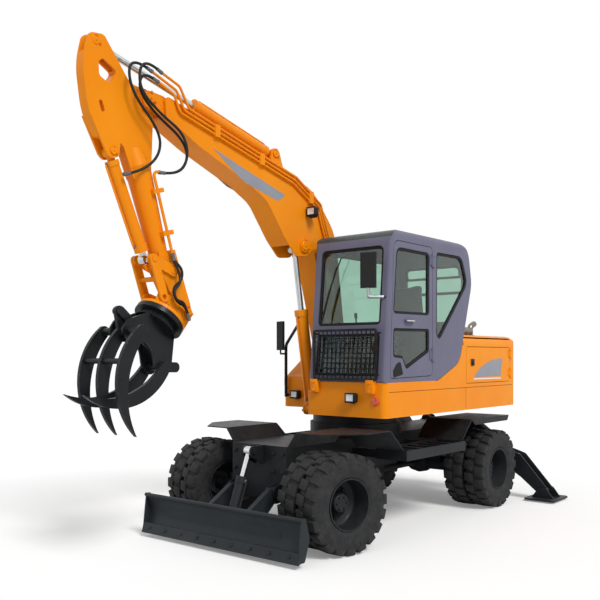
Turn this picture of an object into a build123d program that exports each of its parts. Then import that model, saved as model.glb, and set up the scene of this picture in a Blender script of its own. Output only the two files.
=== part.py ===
from build123d import *
from math import atan2, cos, degrees, hypot, pi, radians, sin, tan
import os

# Frame: millimetres, +X forward from the swing axis, +Y to the machine's left, +Z up.

# Clearances
PIN_CLEAR = 0.1
ROD_CLEAR = 0.3
SIDE_GAP = 6
PANEL_GAP = 6

# Wheels and axles
TYRE_R = 430
TYRE_W = 226
TYRE_LUGS = 18
LUG_DEPTH = 26
LUG_SHARE = 0.56
SHOULDER = 26
RIM_R = 222
RIM_WALL = 11
TWIN_PITCH = 250
TWIN_Y = 780
FRONT_X = 1360
REAR_X = -1320
KINGPIN_Y = 450
KINGPIN_R = 28
STEER_REST = -12
AXLE_TUBE_R = 82
SPINDLE_R = 50
HUB_R = 92

# Chassis
FRAME_Y = 330
FRAME_FRONT = 1520
FRAME_REAR = -1960
FRAME_Z0 = 560
FRAME_Z1 = 870
FRAME_WALL = 18
NOSE_Z0 = 400
TURRET_R = 480
RING_R = 450
RING_Z0 = 990
RING_Z1 = 1070
GUARD_Z = 1000
GUARD_T = 10
GUARD_Y0 = 420
GUARD_Y1 = 950
STEP_Y = 985
STEP_Z = 795
STEP_H = 95

# Blade
BLADE_PIVOT = (1590, 470)
BLADE_HALF_W = 940
BLADE_TOP = (2062, 385)
BLADE_MID = (2000, 225)
BLADE_LOW = (2082, 60)
BLADE_T = 18
BLADE_ARM_Y = 235
BLADE_CYL_LOW = (1895, 200)
BLADE_CYL_TOP = (1645, 825)

# Outriggers
LEG_X = -2075
LEG_HINGE = (520, 600)
LEG_FOOT = (1235, 112)
LEG_CYL_BASE = (330, 875)
LEG_CYL_EYE = (885, 478)
PAD_HALF_X = 225
PAD_Y0 = 1060
PAD_Y1 = 1415
PAD_Z0 = 18
BEAM_HALF_X = 110
BEAM_HALF_Y = 440
BEAM_Z0 = 500
BEAM_Z1 = 715

# House
DECK_Z0 = 1110
DECK_Z1 = 1345
DECK_WALL = 20
HOUSE_Y = 950
CAB_DECK_FRONT = 880
NOSE_FRONT = 430
RIGHT_FRONT = 70
BOOM_Y = -140
HOOD_FRONT = -600
HOOD_REAR = -1780
HOOD_ROUND = 110
HOOD_TOP = 1900
HOOD_WALL = 25
DOOR_TOP = HOOD_TOP - HOOD_ROUND - 15
LOUVRES = 7
LOUVRE_PITCH = 40
WEIGHT_REAR = -1930
TAIL_PIPE = (-1500, 560)
TAIL_PIPE_R = 34
MUFFLER_R = 50
MUFFLER_LENGTH = 480

# Cab
CAB_Y0 = 70
CAB_WALL = 45
CAB_FLOOR_Z = 1432
ROOF_Z = 2770
CAB_FRONT = 885
CAB_BROW = (766, 2836)
CAB_TOP = 2850
PILLAR_ROUND = 34
ROOF_ROUND = 70
GLASS_T = 6
DOOR_HINGE_X = 60
HINGE_OUT = 10
HINGE_PIN_R = 6
PLINTH_REAR = -30
RAIL_IN = 75
RAIL_R = 17

# Boom, arm and grapple: pins seen from the side, (x, z)
BOOM_FOOT = (200, 1450)
BOOM_PIN_R = 38
BOOM_HALF_W = 120
BOOM_PLATE = 14
BOOM_CYL_FOOT = (567, 1140)
BOOM_CYL_EYE = (850, 2750)
ARM_PIVOT = (2747, 3715)
ARM_TAIL = (3225, 4045)
ARM_CYL_BASE = (1210, 3585)
ARM_HEAD_HALF = 46
ARM_HEAD_PLATE = 16
ARM_TIP = (2354, 2040)
ARM_TUBE_TOP = (ARM_PIVOT[0] + 53, ARM_PIVOT[1] - 530)
ARM_TUBE_LOW = (ARM_TIP[0] + 206, ARM_TIP[1] + 390)
ARM_TUBE_R0 = 104
ARM_TUBE_R1 = 74
ARM_TIP_HALF = 74
ARM_COLLAR = 140
TILT_CYL_BASE = (ARM_TUBE_TOP[0] + 275, ARM_TUBE_TOP[1] + 55)
ROCKER_PIVOT = (ARM_TUBE_LOW[0] - 60, ARM_TUBE_LOW[1] - 58)
ROCKER_EYE = (ROCKER_PIVOT[0] + 225, ROCKER_PIVOT[1] + 76)
LINK_EYE = (2620, 2149)
RING_CENTRE = (2540, 2010)
GRAPPLE_TILT = 40
FLANGE_R = 205
JAW_PIVOT = (370, 220)
JAW_HORN = (270, 345)
TINE_T = 32
JAW_TUBE_R = 32
FRONT_TINES = (-235, 0, 235)
REAR_TINES = (-118, 118)


def outline(corners):
    """A closed outline with straight sides, each corner (a, b, radius) rounded by its radius."""
    ends = []
    for i, (a, b, r) in enumerate(corners):
        here = Vector(a, b)
        back = (Vector(*corners[i - 1][:2]) - here).normalized()
        ahead = (Vector(*corners[(i + 1) % len(corners)][:2]) - here).normalized()
        half = radians(back.get_angle(ahead)) / 2
        reach = r / tan(half)
        middle = here + (back + ahead).normalized() * (r / sin(half) - r) if r else here
        ends.append((here + back * reach, middle, here + ahead * reach))
    edges = []
    for i, (start, middle, end) in enumerate(ends):
        if (end - start).length > 1e-6:
            edges.append(Edge.make_three_point_arc(start, middle, end))
        after = ends[(i + 1) % len(ends)][0]
        if (after - end).length > 1e-6:
            edges.append(Edge.make_line(end, after))
    return Face(Wire(edges))


def upward(face):
    return face if face.normal_at().Z > 0 else -face


def side_plate(face, y0, y1):
    """A side view outline (x, z) made as thick as y0 to y1."""
    return Solid.extrude(Plane.XZ.offset(-max(y0, y1)).location * upward(face), Vector(0, -abs(y1 - y0), 0))


def flat_plate(face, z0, z1):
    """A plan outline (x, y) made as thick as z0 to z1."""
    return Solid.extrude(Pos(0, 0, z0) * upward(face), Vector(0, 0, z1 - z0))


def front_plate(face, x0, x1):
    """A front view outline (y, z) made as thick as x0 to x1."""
    return Solid.extrude(Plane.YZ.offset(x0).location * upward(face), Vector(x1 - x0, 0, 0))


def block(x0, x1, y0, y1, z0, z1):
    return Solid.make_box(x1 - x0, y1 - y0, z1 - z0, Plane(origin=(x0, y0, z0)))


def bar(start, end, r):
    """A round bar between two points."""
    way = Vector(*end) - Vector(*start)
    return Solid.make_cylinder(r, way.length, Plane(origin=start, z_dir=way))


def cross_pin(at, y0, y1, r):
    """A pin across the machine at (x, z)."""
    return bar((at[0], y0, at[1]), (at[0], y1, at[1]), r)


def bent_tube(points, r, bend):
    """A tube through the points, with one bend radius."""
    path = FilletPolyline(*points, radius=bend)
    start = Plane(origin=path @ 0, z_dir=path % 0)
    return sweep(start * Circle(r), path=path)


def mirrored(shape):
    return shape.mirror(Plane.XZ)


def joined(*shapes):
    whole = Part()
    for shape in shapes:
        whole = whole + shape
    return whole


def ram(base, eye, barrel_length, barrel_r, rod_r, half_eye, eye_r, pin_r, inside):
    """A hydraulic cylinder lying along +X from its base pin to its rod eye: barrel and rod."""
    length = hypot(eye[0] - base[0], eye[1] - base[1])
    along_y = Plane(origin=(0, -half_eye, 0), z_dir=(0, 1, 0))
    barrel = Solid.make_cylinder(eye_r, 2 * half_eye, along_y)
    start = eye_r + 24
    barrel = joined(barrel, bar((0, 0, 0), (start + 1, 0, 0), 0.9 * half_eye))
    barrel = joined(barrel, bar((start, 0, 0), (barrel_length, 0, 0), barrel_r))
    barrel = joined(barrel, bar((barrel_length - 60, 0, 0), (barrel_length, 0, 0), barrel_r + 7))
    barrel = joined(barrel, bar((start, 0, 0), (start + 40, 0, 0), barrel_r + 5))
    barrel = barrel - bar((start + 12, 0, 0), (barrel_length + 1, 0, 0), rod_r + ROD_CLEAR)
    barrel = barrel - bar((0, -half_eye - 1, 0), (0, half_eye + 1, 0), pin_r + PIN_CLEAR)
    rod = bar((barrel_length - inside, 0, 0), (length, 0, 0), rod_r)
    rod = joined(rod, bar((length, -half_eye, 0), (length, half_eye, 0), eye_r))
    rod = rod - bar((length, -half_eye - 1, 0), (length, half_eye + 1, 0), pin_r + PIN_CLEAR)
    return barrel, rod


def placed_side(shape, base, eye, y):
    """Lays a cylinder in the machine's side view from base towards eye."""
    angle = degrees(atan2(eye[1] - base[1], eye[0] - base[0]))
    return Pos(base[0], y, base[1]) * Rot(0, -angle, 0) * shape


def placed_front(shape, base, eye, x):
    """Lays a cylinder in the machine's front view from base towards eye, each (y, z)."""
    angle = degrees(atan2(eye[1] - base[1], eye[0] - base[0]))
    return Pos(x, base[0], base[1]) * Rot(angle, 0, 0) * Rot(0, 0, 90) * shape


# Wheels


def tyre():
    """One lugged tyre about the Y axis: two half treads with their blocks staggered."""
    pitch = 360 / TYRE_LUGS
    root = TYRE_R - LUG_DEPTH
    halves = []
    for side, phase in ((1, 0.0), (-1, 0.5)):
        points = []
        for i in range(TYRE_LUGS):
            first = (i + phase - LUG_SHARE / 2) * pitch - 90
            last = first + LUG_SHARE * pitch
            for r, a in ((root, first), (TYRE_R, first + 2), (TYRE_R, last - 2), (root, last)):
                points.append((r * cos(radians(a)), r * sin(radians(a)), 0))
        tread = side_plate(outline(points), 0, TYRE_W / 2 - SHOULDER)
        ring = Plane.XZ.offset(SHOULDER - TYRE_W / 2).location * RegularPolygon(root, 2 * TYRE_LUGS)
        face = Plane.XZ.offset(-TYRE_W / 2).location * RegularPolygon(RIM_R + 90, 2 * TYRE_LUGS)
        wall = Solid.make_loft([ring.wire(), face.wire()], ruled=True)
        half = joined(tread, wall)
        halves.append(half if side == 1 else mirrored(half))
    bore = RegularPolygon(RIM_R, 2 * TYRE_LUGS, major_radius=False)
    hole = extrude(Plane.XZ.offset(-TYRE_W).location * bore, amount=2 * TYRE_W)
    return joined(*halves) - hole


def rims():
    """The twin rims and their hub about the Y axis, the outer side towards +Y."""
    edge = TWIN_PITCH / 2 + TYRE_W / 2 - 14
    hollow = RIM_R - RIM_WALL
    profile = [
        (SPINDLE_R + PIN_CLEAR, -60, 0), (120, -60, 8), (120, -14, 8), (hollow, -14, 12),
        (hollow, -edge, 0), (RIM_R, -edge, 0), (RIM_R, edge, 0), (hollow, edge, 0),
        (hollow, 40, 30), (150, 14, 20), (HUB_R + 24, 14, 6), (HUB_R, 30, 4), (HUB_R - 12, 118, 14),
        (0, 118, 0), (0, 66, 0), (SPINDLE_R + PIN_CLEAR, 66, 0),
    ]
    return revolve(outline(profile), Axis.Y)


def wheel(x, side, angle):
    """Tyres and rims of one corner, in place."""
    if x > 0:
        turn = Pos(x, side * KINGPIN_Y, TYRE_R) * Rot(0, 0, angle)
        seat = turn * Pos(0, side * (TWIN_Y - KINGPIN_Y), 0)
    else:
        seat = Pos(x, side * TWIN_Y, TYRE_R)
    pair = [seat * Pos(0, off * TWIN_PITCH / 2, 0) * tyre() for off in (-1, 1)]
    hub = rims() if side == 1 else mirrored(rims())
    return Compound(pair), seat * hub


# Chassis


def chassis_frame():
    w = FRAME_WALL
    body = block(FRAME_REAR, FRAME_FRONT, -FRAME_Y, FRAME_Y, FRAME_Z0, FRAME_Z1)
    body = body - block(FRAME_REAR + w, FRAME_FRONT - w, w - FRAME_Y, FRAME_Y - w, FRAME_Z0 - 1, FRAME_Z1 - w)
    nose = front_plate(outline([
        (-FRAME_Y, FRAME_Z1, 0), (FRAME_Y, FRAME_Z1, 0), (FRAME_Y, NOSE_Z0 + 60, 50),
        (FRAME_Y - 60, NOSE_Z0, 30), (60 - FRAME_Y, NOSE_Z0, 30), (-FRAME_Y, NOSE_Z0 + 60, 50),
    ]), FRAME_FRONT - w, FRAME_FRONT)
    body = joined(body, nose)
    turret = Solid.make_cylinder(TURRET_R, RING_Z0 - FRAME_Z1, Plane(origin=(0, 0, FRAME_Z1)))
    ring = Solid.make_cylinder(RING_R, RING_Z1 - SIDE_GAP - RING_Z0, Plane(origin=(0, 0, RING_Z0)))
    body = joined(body, turret, ring)
    body = body - Solid.make_cylinder(RING_R - 70, 600, Plane(origin=(0, 0, FRAME_Z1 - 40)))
    for x in (FRONT_X, REAR_X):
        top = TYRE_R + AXLE_TUBE_R
        for y in (-1, 1):
            body = joined(body, block(x - 75, x + 75, y * 250 - 62, y * 250 + 62, top - 40, FRAME_Z0 + 60))
        body = body - bar((x, -FRAME_Y - 1, TYRE_R), (x, FRAME_Y + 1, TYRE_R), AXLE_TUBE_R)
    for side in (-1, 1):
        for inner in (BLADE_ARM_Y - 24 - SIDE_GAP, BLADE_ARM_Y + 24 + SIDE_GAP + 18):
            y = side * inner
            lug = outline([
                (FRAME_FRONT, BLADE_PIVOT[1] + 75, 0), (FRAME_FRONT, BLADE_PIVOT[1] - 65, 0),
                (BLADE_PIVOT[0] + 45, BLADE_PIVOT[1] - 45, 40), (BLADE_PIVOT[0] + 45, BLADE_PIVOT[1] + 45,
                                                                 40),
            ])
            body = joined(body, side_plate(lug, y, y - side * 18))
        far = side * (BLADE_ARM_Y + 24 + SIDE_GAP + 18)
        near = side * (BLADE_ARM_Y - 24 - SIDE_GAP - 18)
        body = joined(body, cross_pin(BLADE_PIVOT, min(far, near), max(far, near), 24))
    for side in (-1, 1):
        lug = outline([
            (FRAME_FRONT, FRAME_Z1, 0), (FRAME_FRONT, BLADE_CYL_TOP[1] - 130, 0),
            (BLADE_CYL_TOP[0] + 42, BLADE_CYL_TOP[1] - 42, 38), (BLADE_CYL_TOP[0] + 42, FRAME_Z1, 38),
        ])
        y = side * (34 + SIDE_GAP)
        body = joined(body, side_plate(lug, y, y + side * 16))
        y = side * (34 + SIDE_GAP + 16)
        body = joined(body, cross_pin(BLADE_CYL_TOP, min(y, y + side * 14), max(y, y + side * 14), 26))
    beam = block(LEG_X - BEAM_HALF_X, LEG_X + BEAM_HALF_X, -BEAM_HALF_Y, BEAM_HALF_Y, BEAM_Z0, BEAM_Z1)
    body = joined(body, beam, block(LEG_X + BEAM_HALF_X, FRAME_REAR, -300, 300, FRAME_Z0, BEAM_Z1))
    for side in (-1, 1):
        lug = outline([
            (side * BEAM_HALF_Y, BEAM_Z1, 0), (side * BEAM_HALF_Y, BEAM_Z0, 0), (side * (LEG_HINGE[0] + 62),
                                                                                 LEG_HINGE[1] - 55, 50),
            (side * (LEG_HINGE[0] + 62), LEG_HINGE[1] + 62, 50),
        ])
        post = outline([
            (side * 380, BEAM_Z1, 0), (side * 200, BEAM_Z1, 0), (side * (LEG_CYL_BASE[0] - 52),
                                                                 LEG_CYL_BASE[1] + 52, 48),
            (side * (LEG_CYL_BASE[0] + 52), LEG_CYL_BASE[1] + 52, 48),
        ])
        for x in (-BEAM_HALF_X, BEAM_HALF_X - 20):
            body = joined(body, front_plate(lug, LEG_X + x, LEG_X + x + 20))
        for x in (-50 - SIDE_GAP - 16, 50 + SIDE_GAP):
            body = joined(body, front_plate(post, LEG_X + x, LEG_X + x + 16))
        pins = ((LEG_HINGE, 26, BEAM_HALF_X), (LEG_CYL_BASE, 24, 50 + SIDE_GAP + 16))
        for (y, z), r, half in pins:
            body = joined(body, bar((LEG_X - half, side * y, z), (LEG_X + half, side * y, z), r))
    eye_x = LEG_X - BEAM_HALF_X
    eye = flat_plate(outline([(eye_x, -80, 0), (eye_x - 120, -60, 55), (eye_x - 120, 60, 55),
                              (eye_x, 80, 0)]), 590, 630)
    eye = eye - Solid.make_cylinder(25, 200, Plane(origin=(eye_x - 62, 0, 520)))
    return joined(body, eye)


def mudguards_and_steps():
    t = GUARD_T
    z = GUARD_Z
    front = outline([
        (560, STEP_Z, 0), (790, z, 60), (1500, z, 0), (1500, z - t, 0), (796, z - t, 50), (574, STEP_Z, 0),
    ])
    rear = outline([
        (-1690, z, 0), (-780, z, 60), (-560, STEP_Z, 0), (-574, STEP_Z, 0), (-786, z - t, 50), (-1690,
                                                                                                z - t, 0),
    ])
    corner = outline([(1130, GUARD_Y1 + 40, 0), (1600, GUARD_Y1 + 40, 0), (1600, 560, 0), (1490, 700, 60)])
    web = outline([(FRAME_Y, FRAME_Z1 - 14, 0), (FRAME_Y, FRAME_Z1, 0), (GUARD_Y0, z, 0),
                   (GUARD_Y0 + 12, z - t, 0)])
    top = joined(side_plate(front, GUARD_Y0, GUARD_Y1), front_plate(web, 800, 1500))
    top = top - flat_plate(corner, z - 40, z + 20)
    back = joined(side_plate(rear, GUARD_Y0, GUARD_Y1), front_plate(web, -1690, -790))
    skirt = outline([(-1690, z - t, 0), (-800, z - t, 0), (-860, z - 60, 30), (-1660, z - 60, 30)])
    back = joined(back, side_plate(skirt, GUARD_Y1 - t, GUARD_Y1))
    low = STEP_Z - STEP_H
    tray = block(-574, 574, 640, STEP_Y, low, STEP_Z)
    tray = tray - block(-560, 560, 654, STEP_Y - 14, low + 12, STEP_Z + 1)
    for i in range(1, 6):
        x = -560 + i * 1120 / 6
        tray = joined(tray, block(x - 14, x + 14, 650, STEP_Y - 10, low + 6, STEP_Z - 8))
    for x in (-480, 480):
        tray = joined(tray, block(x - 40, x + 40, FRAME_Y, 645, low, low + 70))
    left = joined(top, back, tray)
    return Compound([left, mirrored(left)])


def axle_beam(x):
    """Axle tube with its differential bulge."""
    body = bar((x, -360, TYRE_R), (x, 360, TYRE_R), AXLE_TUBE_R)
    bulge = outline([(0, -150, 0), (105, -120, 60), (130, 0, 60), (105, 120, 60), (0, 150, 0)])
    return joined(body, Pos(x, 0, TYRE_R) * revolve(bulge, Axis.Y))


def front_axle():
    body = axle_beam(FRONT_X)
    for side in (-1, 1):
        body = joined(body,
                      block(FRONT_X - 60, FRONT_X + 60, min(side * 330, side * 380),
                            max(side * 330, side * 380),
                                  TYRE_R - 125, TYRE_R + 125))
        for z0 in (TYRE_R - 125, TYRE_R + 90):
            plan = outline([(FRONT_X - 55, side * 340, 0), (FRONT_X + 55, side * 340, 0),
                            (FRONT_X + 45, side * (KINGPIN_Y + 45), 40), (FRONT_X - 45,
                                                                          side * (KINGPIN_Y + 45), 40)])
            body = joined(body, flat_plate(plan, z0, z0 + 35))
        body = joined(body,
                      bar((FRONT_X, side * KINGPIN_Y, TYRE_R - 125),
                          (FRONT_X, side * KINGPIN_Y, TYRE_R + 125),
                                KINGPIN_R))
    return body


def steering_knuckle(side):
    """Kingpin barrel and stub axle of one front corner, turned as in the photograph."""
    body = Solid.make_cylinder(52, 180 - 2 * SIDE_GAP, Plane(origin=(0, 0, SIDE_GAP - 90)))
    reach = TWIN_Y - KINGPIN_Y
    body = joined(body, bar((0, side * 42, 0), (0, side * (reach - 66), 0), 62))
    body = joined(body, bar((0, side * 60, 0), (0, side * (reach + 60), 0), SPINDLE_R))
    arm = outline([(-40, side * 10, 0), (-150, side * 30, 24), (-150, side * -30, 24), (-40, side * -40, 0)])
    body = joined(body, flat_plate(arm, -40, -14))
    body = body - Solid.make_cylinder(KINGPIN_R + PIN_CLEAR, 400, Plane(origin=(0, 0, -200)))
    return Pos(FRONT_X, side * KINGPIN_Y, TYRE_R) * Rot(0, 0, STEER_REST) * body


def rear_axle():
    body = axle_beam(REAR_X)
    for side in (-1, 1):
        body = joined(body, bar((REAR_X, side * 340, TYRE_R), (REAR_X, side * (TWIN_Y - 66), TYRE_R), 74))
        body = joined(body,
                      bar((REAR_X, side * 340, TYRE_R), (REAR_X, side * (TWIN_Y + 60), TYRE_R), SPINDLE_R))
    gearbox = block(-260, 240, -190, 190, 380, FRAME_Z0)
    lid = block(-320, 300, 20 - FRAME_Y, FRAME_Y - 20, FRAME_Z0 - 24, FRAME_Z0)
    body = joined(body, bar((REAR_X, 0, TYRE_R), (-250, 0, TYRE_R), 38), gearbox, lid)
    return joined(body, bar((230, 0, TYRE_R), (FRONT_X - 150, 0, TYRE_R), 38))


# Blade and outriggers


def blade_sheet(points, t):
    """A curved sheet through three side view points, its thickness on the rear side."""
    face_arc = ThreePointArc(*points)
    back_arc = ThreePointArc(*[(x - t, z) for x, z in points])
    top = Line(face_arc @ 0, back_arc @ 0)
    low = Line(face_arc @ 1, back_arc @ 1)
    return make_face([face_arc, low, back_arc, top])


def dozer_blade():
    half = BLADE_HALF_W
    sheet = blade_sheet([BLADE_TOP, BLADE_MID, BLADE_LOW], BLADE_T)
    body = side_plate(sheet.face(), -half, half)
    body = joined(body,
                  bar((BLADE_TOP[0] - 12, -half, BLADE_TOP[1]), (BLADE_TOP[0] - 12, half, BLADE_TOP[1]), 17))
    edge = outline([
        (BLADE_LOW[0] - 26, BLADE_LOW[1] + 72, 0), (BLADE_LOW[0] - 6, BLADE_LOW[1] + 72, 0),
        (BLADE_LOW[0] + 20, BLADE_LOW[1] - 18, 0), (BLADE_LOW[0] - 6, BLADE_LOW[1] - 18, 0),
    ])
    body = joined(body, side_plate(edge, -half, half))
    cheek = outline([
        (BLADE_TOP[0] - 12, BLADE_TOP[1] + 14, 10), (BLADE_LOW[0] + 8, BLADE_LOW[1] - 10, 10),
        (BLADE_LOW[0] - 70, BLADE_LOW[1] - 10, 20), (BLADE_MID[0] - 50, BLADE_MID[1], 60),
        (BLADE_TOP[0] - 60, BLADE_TOP[1] + 14, 20),
    ])
    for side in (-1, 1):
        body = joined(body, side_plate(cheek, side * half, side * (half - 14)))
        arm = outline([
            (BLADE_PIVOT[0] - 48, BLADE_PIVOT[1] + 46, 44), (BLADE_PIVOT[0] + 60, BLADE_PIVOT[1] + 40, 40),
            (BLADE_MID[0] - 8, BLADE_MID[1] + 85, 0), (BLADE_MID[0] + 4, BLADE_MID[1] - 95, 0),
            (BLADE_MID[0] - 120, BLADE_MID[1] - 95, 60), (BLADE_PIVOT[0] - 48, BLADE_PIVOT[1] - 48, 44),
        ])
        y = side * BLADE_ARM_Y
        body = joined(body, side_plate(arm, y - 24, y + 24))
    spine = outline([
        (BLADE_MID[0] + 2, BLADE_MID[1] + 60, 0), (BLADE_MID[0] + 4, BLADE_MID[1] - 70, 0),
        (BLADE_MID[0] - 60, BLADE_MID[1] - 70, 20), (BLADE_MID[0] - 60, BLADE_MID[1] + 60, 20),
    ])
    body = joined(body, side_plate(spine, -half * 0.72, half * 0.72))
    for side in (-1, 1):
        lug = outline([
            (BLADE_MID[0] - 40, BLADE_MID[1] + 58, 0), (BLADE_MID[0] - 40, BLADE_MID[1] - 68, 0),
            (BLADE_CYL_LOW[0] - 42, BLADE_CYL_LOW[1] - 42, 38), (BLADE_CYL_LOW[0] - 42,
                                                                 BLADE_CYL_LOW[1] + 42, 38),
        ])
        y = side * (34 + SIDE_GAP)
        body = joined(body, side_plate(lug, y, y + side * 16))
    body = joined(body, cross_pin(BLADE_CYL_LOW, -34 - SIDE_GAP - 16, 34 + SIDE_GAP + 16, 24))
    for side in (-1, 1):
        y = side * BLADE_ARM_Y
        body = body - cross_pin(BLADE_PIVOT, y - 30, y + 30, 24 + PIN_CLEAR)
    return body


def outrigger_leg(side):
    """Leg with its ground pad, in the front view of the machine's left side."""
    (hy, hz), (fy, fz), (ey, ez) = LEG_HINGE, LEG_FOOT, LEG_CYL_EYE
    shape = outline([
        (hy - 58, hz - 40, 50), (hy - 40, hz + 62, 55), (ey - 30, ez + 72, 60), (ey + 70, ez + 40, 50),
        (fy + 52, fz + 30, 40), (fy + 40, fz - 46, 40), (fy - 60, fz - 30, 50), (ey - 40, ez - 130, 200),
    ])
    outer = BEAM_HALF_X - 20 - SIDE_GAP
    body = front_plate(shape, LEG_X - outer, LEG_X - outer + 18)
    body = joined(body, front_plate(shape, LEG_X + outer - 18, LEG_X + outer))
    web = outline([
        (hy + 60, hz - 110, 0), (hy + 80, hz - 90, 0), (fy - 30, fz + 20, 0), (fy - 50, fz, 0),
    ])
    body = joined(body, front_plate(web, LEG_X - outer + 4, LEG_X + outer - 4))
    body = joined(body, bar((LEG_X - outer + 4, hy, hz), (LEG_X + outer - 4, hy, hz), 44))
    body = joined(body, bar((LEG_X - outer - 26, fy, fz), (LEG_X + outer + 26, fy, fz), 24))
    pad = flat_plate(outline([
        (LEG_X - PAD_HALF_X, PAD_Y0, 30), (LEG_X + PAD_HALF_X, PAD_Y0, 30),
        (LEG_X + PAD_HALF_X, PAD_Y1, 30), (LEG_X - PAD_HALF_X, PAD_Y1, 30),
    ]), PAD_Z0, PAD_Z0 + 20)
    ear = outline([
        (PAD_Y0 + 40, PAD_Z0 + 10, 0), (PAD_Y1 - 40, PAD_Z0 + 10, 0), (fy + 44, fz + 40, 36), (fy - 44,
                                                                                               fz + 40, 36),
    ])
    for x in (-outer - SIDE_GAP - 16, outer + SIDE_GAP):
        pad = joined(pad, front_plate(ear, LEG_X + x, LEG_X + x + 16))
    body = joined(body, pad)
    body = body - bar((LEG_X - 200, hy, hz), (LEG_X + 200, hy, hz), 26 + PIN_CLEAR)
    return body if side == 1 else mirrored(body)


# House


def house_frame():
    plan = outline([
        (CAB_DECK_FRONT, HOUSE_Y, 60), (HOOD_REAR, HOUSE_Y, 0), (HOOD_REAR, -HOUSE_Y, 0),
        (RIGHT_FRONT, -HOUSE_Y, 60), (RIGHT_FRONT, BOOM_Y - 200, 0), (NOSE_FRONT, BOOM_Y - 200, 20),
        (NOSE_FRONT, CAB_Y0 - 20, 0), (CAB_DECK_FRONT, CAB_Y0 - 20, 30),
    ])
    w = DECK_WALL
    inside = outline([
        (CAB_DECK_FRONT - w, HOUSE_Y - w, 40), (HOOD_REAR + w, HOUSE_Y - w, 0), (HOOD_REAR + w, w - HOUSE_Y,
                                                                                 0),
        (RIGHT_FRONT - w, w - HOUSE_Y, 40), (RIGHT_FRONT - w, BOOM_Y - 200 + w, 0), (NOSE_FRONT - w,
                                                                                     BOOM_Y - 200 + w, 0),
        (NOSE_FRONT - w, CAB_Y0 - 20 + w, 0), (CAB_DECK_FRONT - w, CAB_Y0 - 20 + w, 20),
    ])
    body = flat_plate(plan, DECK_Z0, DECK_Z1) - flat_plate(inside, DECK_Z0 - 1, DECK_Z1 - w)
    ring = Solid.make_cylinder(RING_R - 10, DECK_Z1 - w - RING_Z1 + 2, Plane(origin=(0, 0, RING_Z1)))
    spigot = Solid.make_cylinder(RING_R - 70 - PIN_CLEAR, RING_Z1 - RING_Z0 + 20,
                                 Plane(origin=(0, 0, RING_Z0 - 10)))
    ring = joined(ring, spigot)
    body = joined(body, ring - Solid.make_cylinder(RING_R - 110, 600, Plane(origin=(0, 0, RING_Z0 - 40))))
    mount = outline([
        (NOSE_FRONT, DECK_Z0, 0), (NOSE_FRONT, DECK_Z1 - 20, 40), (BOOM_FOOT[0] + 70, BOOM_FOOT[1] + 60, 62),
        (BOOM_FOOT[0] - 70, BOOM_FOOT[1] + 60, 62), (-330, DECK_Z1 - 5, 60), (-330, DECK_Z0, 0),
    ])
    for side in (-1, 1):
        y = BOOM_Y + side * (BOOM_HALF_W + SIDE_GAP)
        body = joined(body, side_plate(mount, y, y + side * 24))
    reach = BOOM_HALF_W + SIDE_GAP + 34
    body = joined(body, cross_pin(BOOM_FOOT, BOOM_Y - reach, BOOM_Y + reach, BOOM_PIN_R))
    x, z = BOOM_CYL_FOOT
    for side in (-1, 1):
        lug = outline([
            (NOSE_FRONT - 5, z + 60, 0), (NOSE_FRONT - 5, DECK_Z0, 0), (x - 20, z - 62, 30),
            (x + 58, z - 58, 54), (x + 56, z + 52, 50),
        ])
        y = BOOM_Y + side * (46 + SIDE_GAP)
        body = joined(body, side_plate(lug, y, y + side * 22))
    reach = 46 + SIDE_GAP + 30
    body = joined(body, cross_pin(BOOM_CYL_FOOT, BOOM_Y - reach, BOOM_Y + reach, 30))
    plinth = cab_plinth()
    return joined(body, plinth)


def cab_plinth():
    """The raised base that the cab stands on."""
    low = outline([
        (CAB_DECK_FRONT - 4, HOUSE_Y, 50), (PLINTH_REAR, HOUSE_Y, 0), (PLINTH_REAR, CAB_Y0, 0),
        (CAB_DECK_FRONT - 4, CAB_Y0, 30),
    ])
    return flat_plate(low, DECK_Z1 - 1, CAB_FLOOR_Z)


def cab_outline(inset):
    """The cab's side outline, moved in by inset."""
    return outline([
        (CAB_FRONT - inset, CAB_FLOOR_Z + inset, 20), (CAB_BROW[0] - inset, CAB_BROW[1] - inset, 130 - inset),
        (-690 + inset * 0.8, CAB_TOP - inset, 210 - inset), (-778 + inset, 2430, 280),
        (-512 + inset, 1610 + inset * 0.4, 230), (-60, CAB_FLOOR_Z + inset, 260),
    ])


def cab_form():
    """The cab's outer form: its side outline, rounded along the roof's sides and down the front pillars."""
    across = outline([(CAB_Y0, CAB_FLOOR_Z, 0), (HOUSE_Y, CAB_FLOOR_Z, 0), (HOUSE_Y, CAB_TOP, ROOF_ROUND),
                      (CAB_Y0, CAB_TOP, ROOF_ROUND)])
    plan = outline([(CAB_FRONT, CAB_Y0, PILLAR_ROUND), (CAB_FRONT, HOUSE_Y, PILLAR_ROUND),
                    (-2 * CAB_FRONT, HOUSE_Y, 0), (-2 * CAB_FRONT, CAB_Y0, 0)])
    lean = Vector(CAB_BROW[0] - CAB_FRONT, 0, CAB_BROW[1] - CAB_FLOOR_Z) * 1.1
    loaf = Solid.extrude(upward(Pos(0, 0, CAB_FLOOR_Z) * plan), lean)
    return side_plate(cab_outline(0), CAB_Y0, HOUSE_Y) & front_plate(across, -1000, 1000) & loaf


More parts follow.
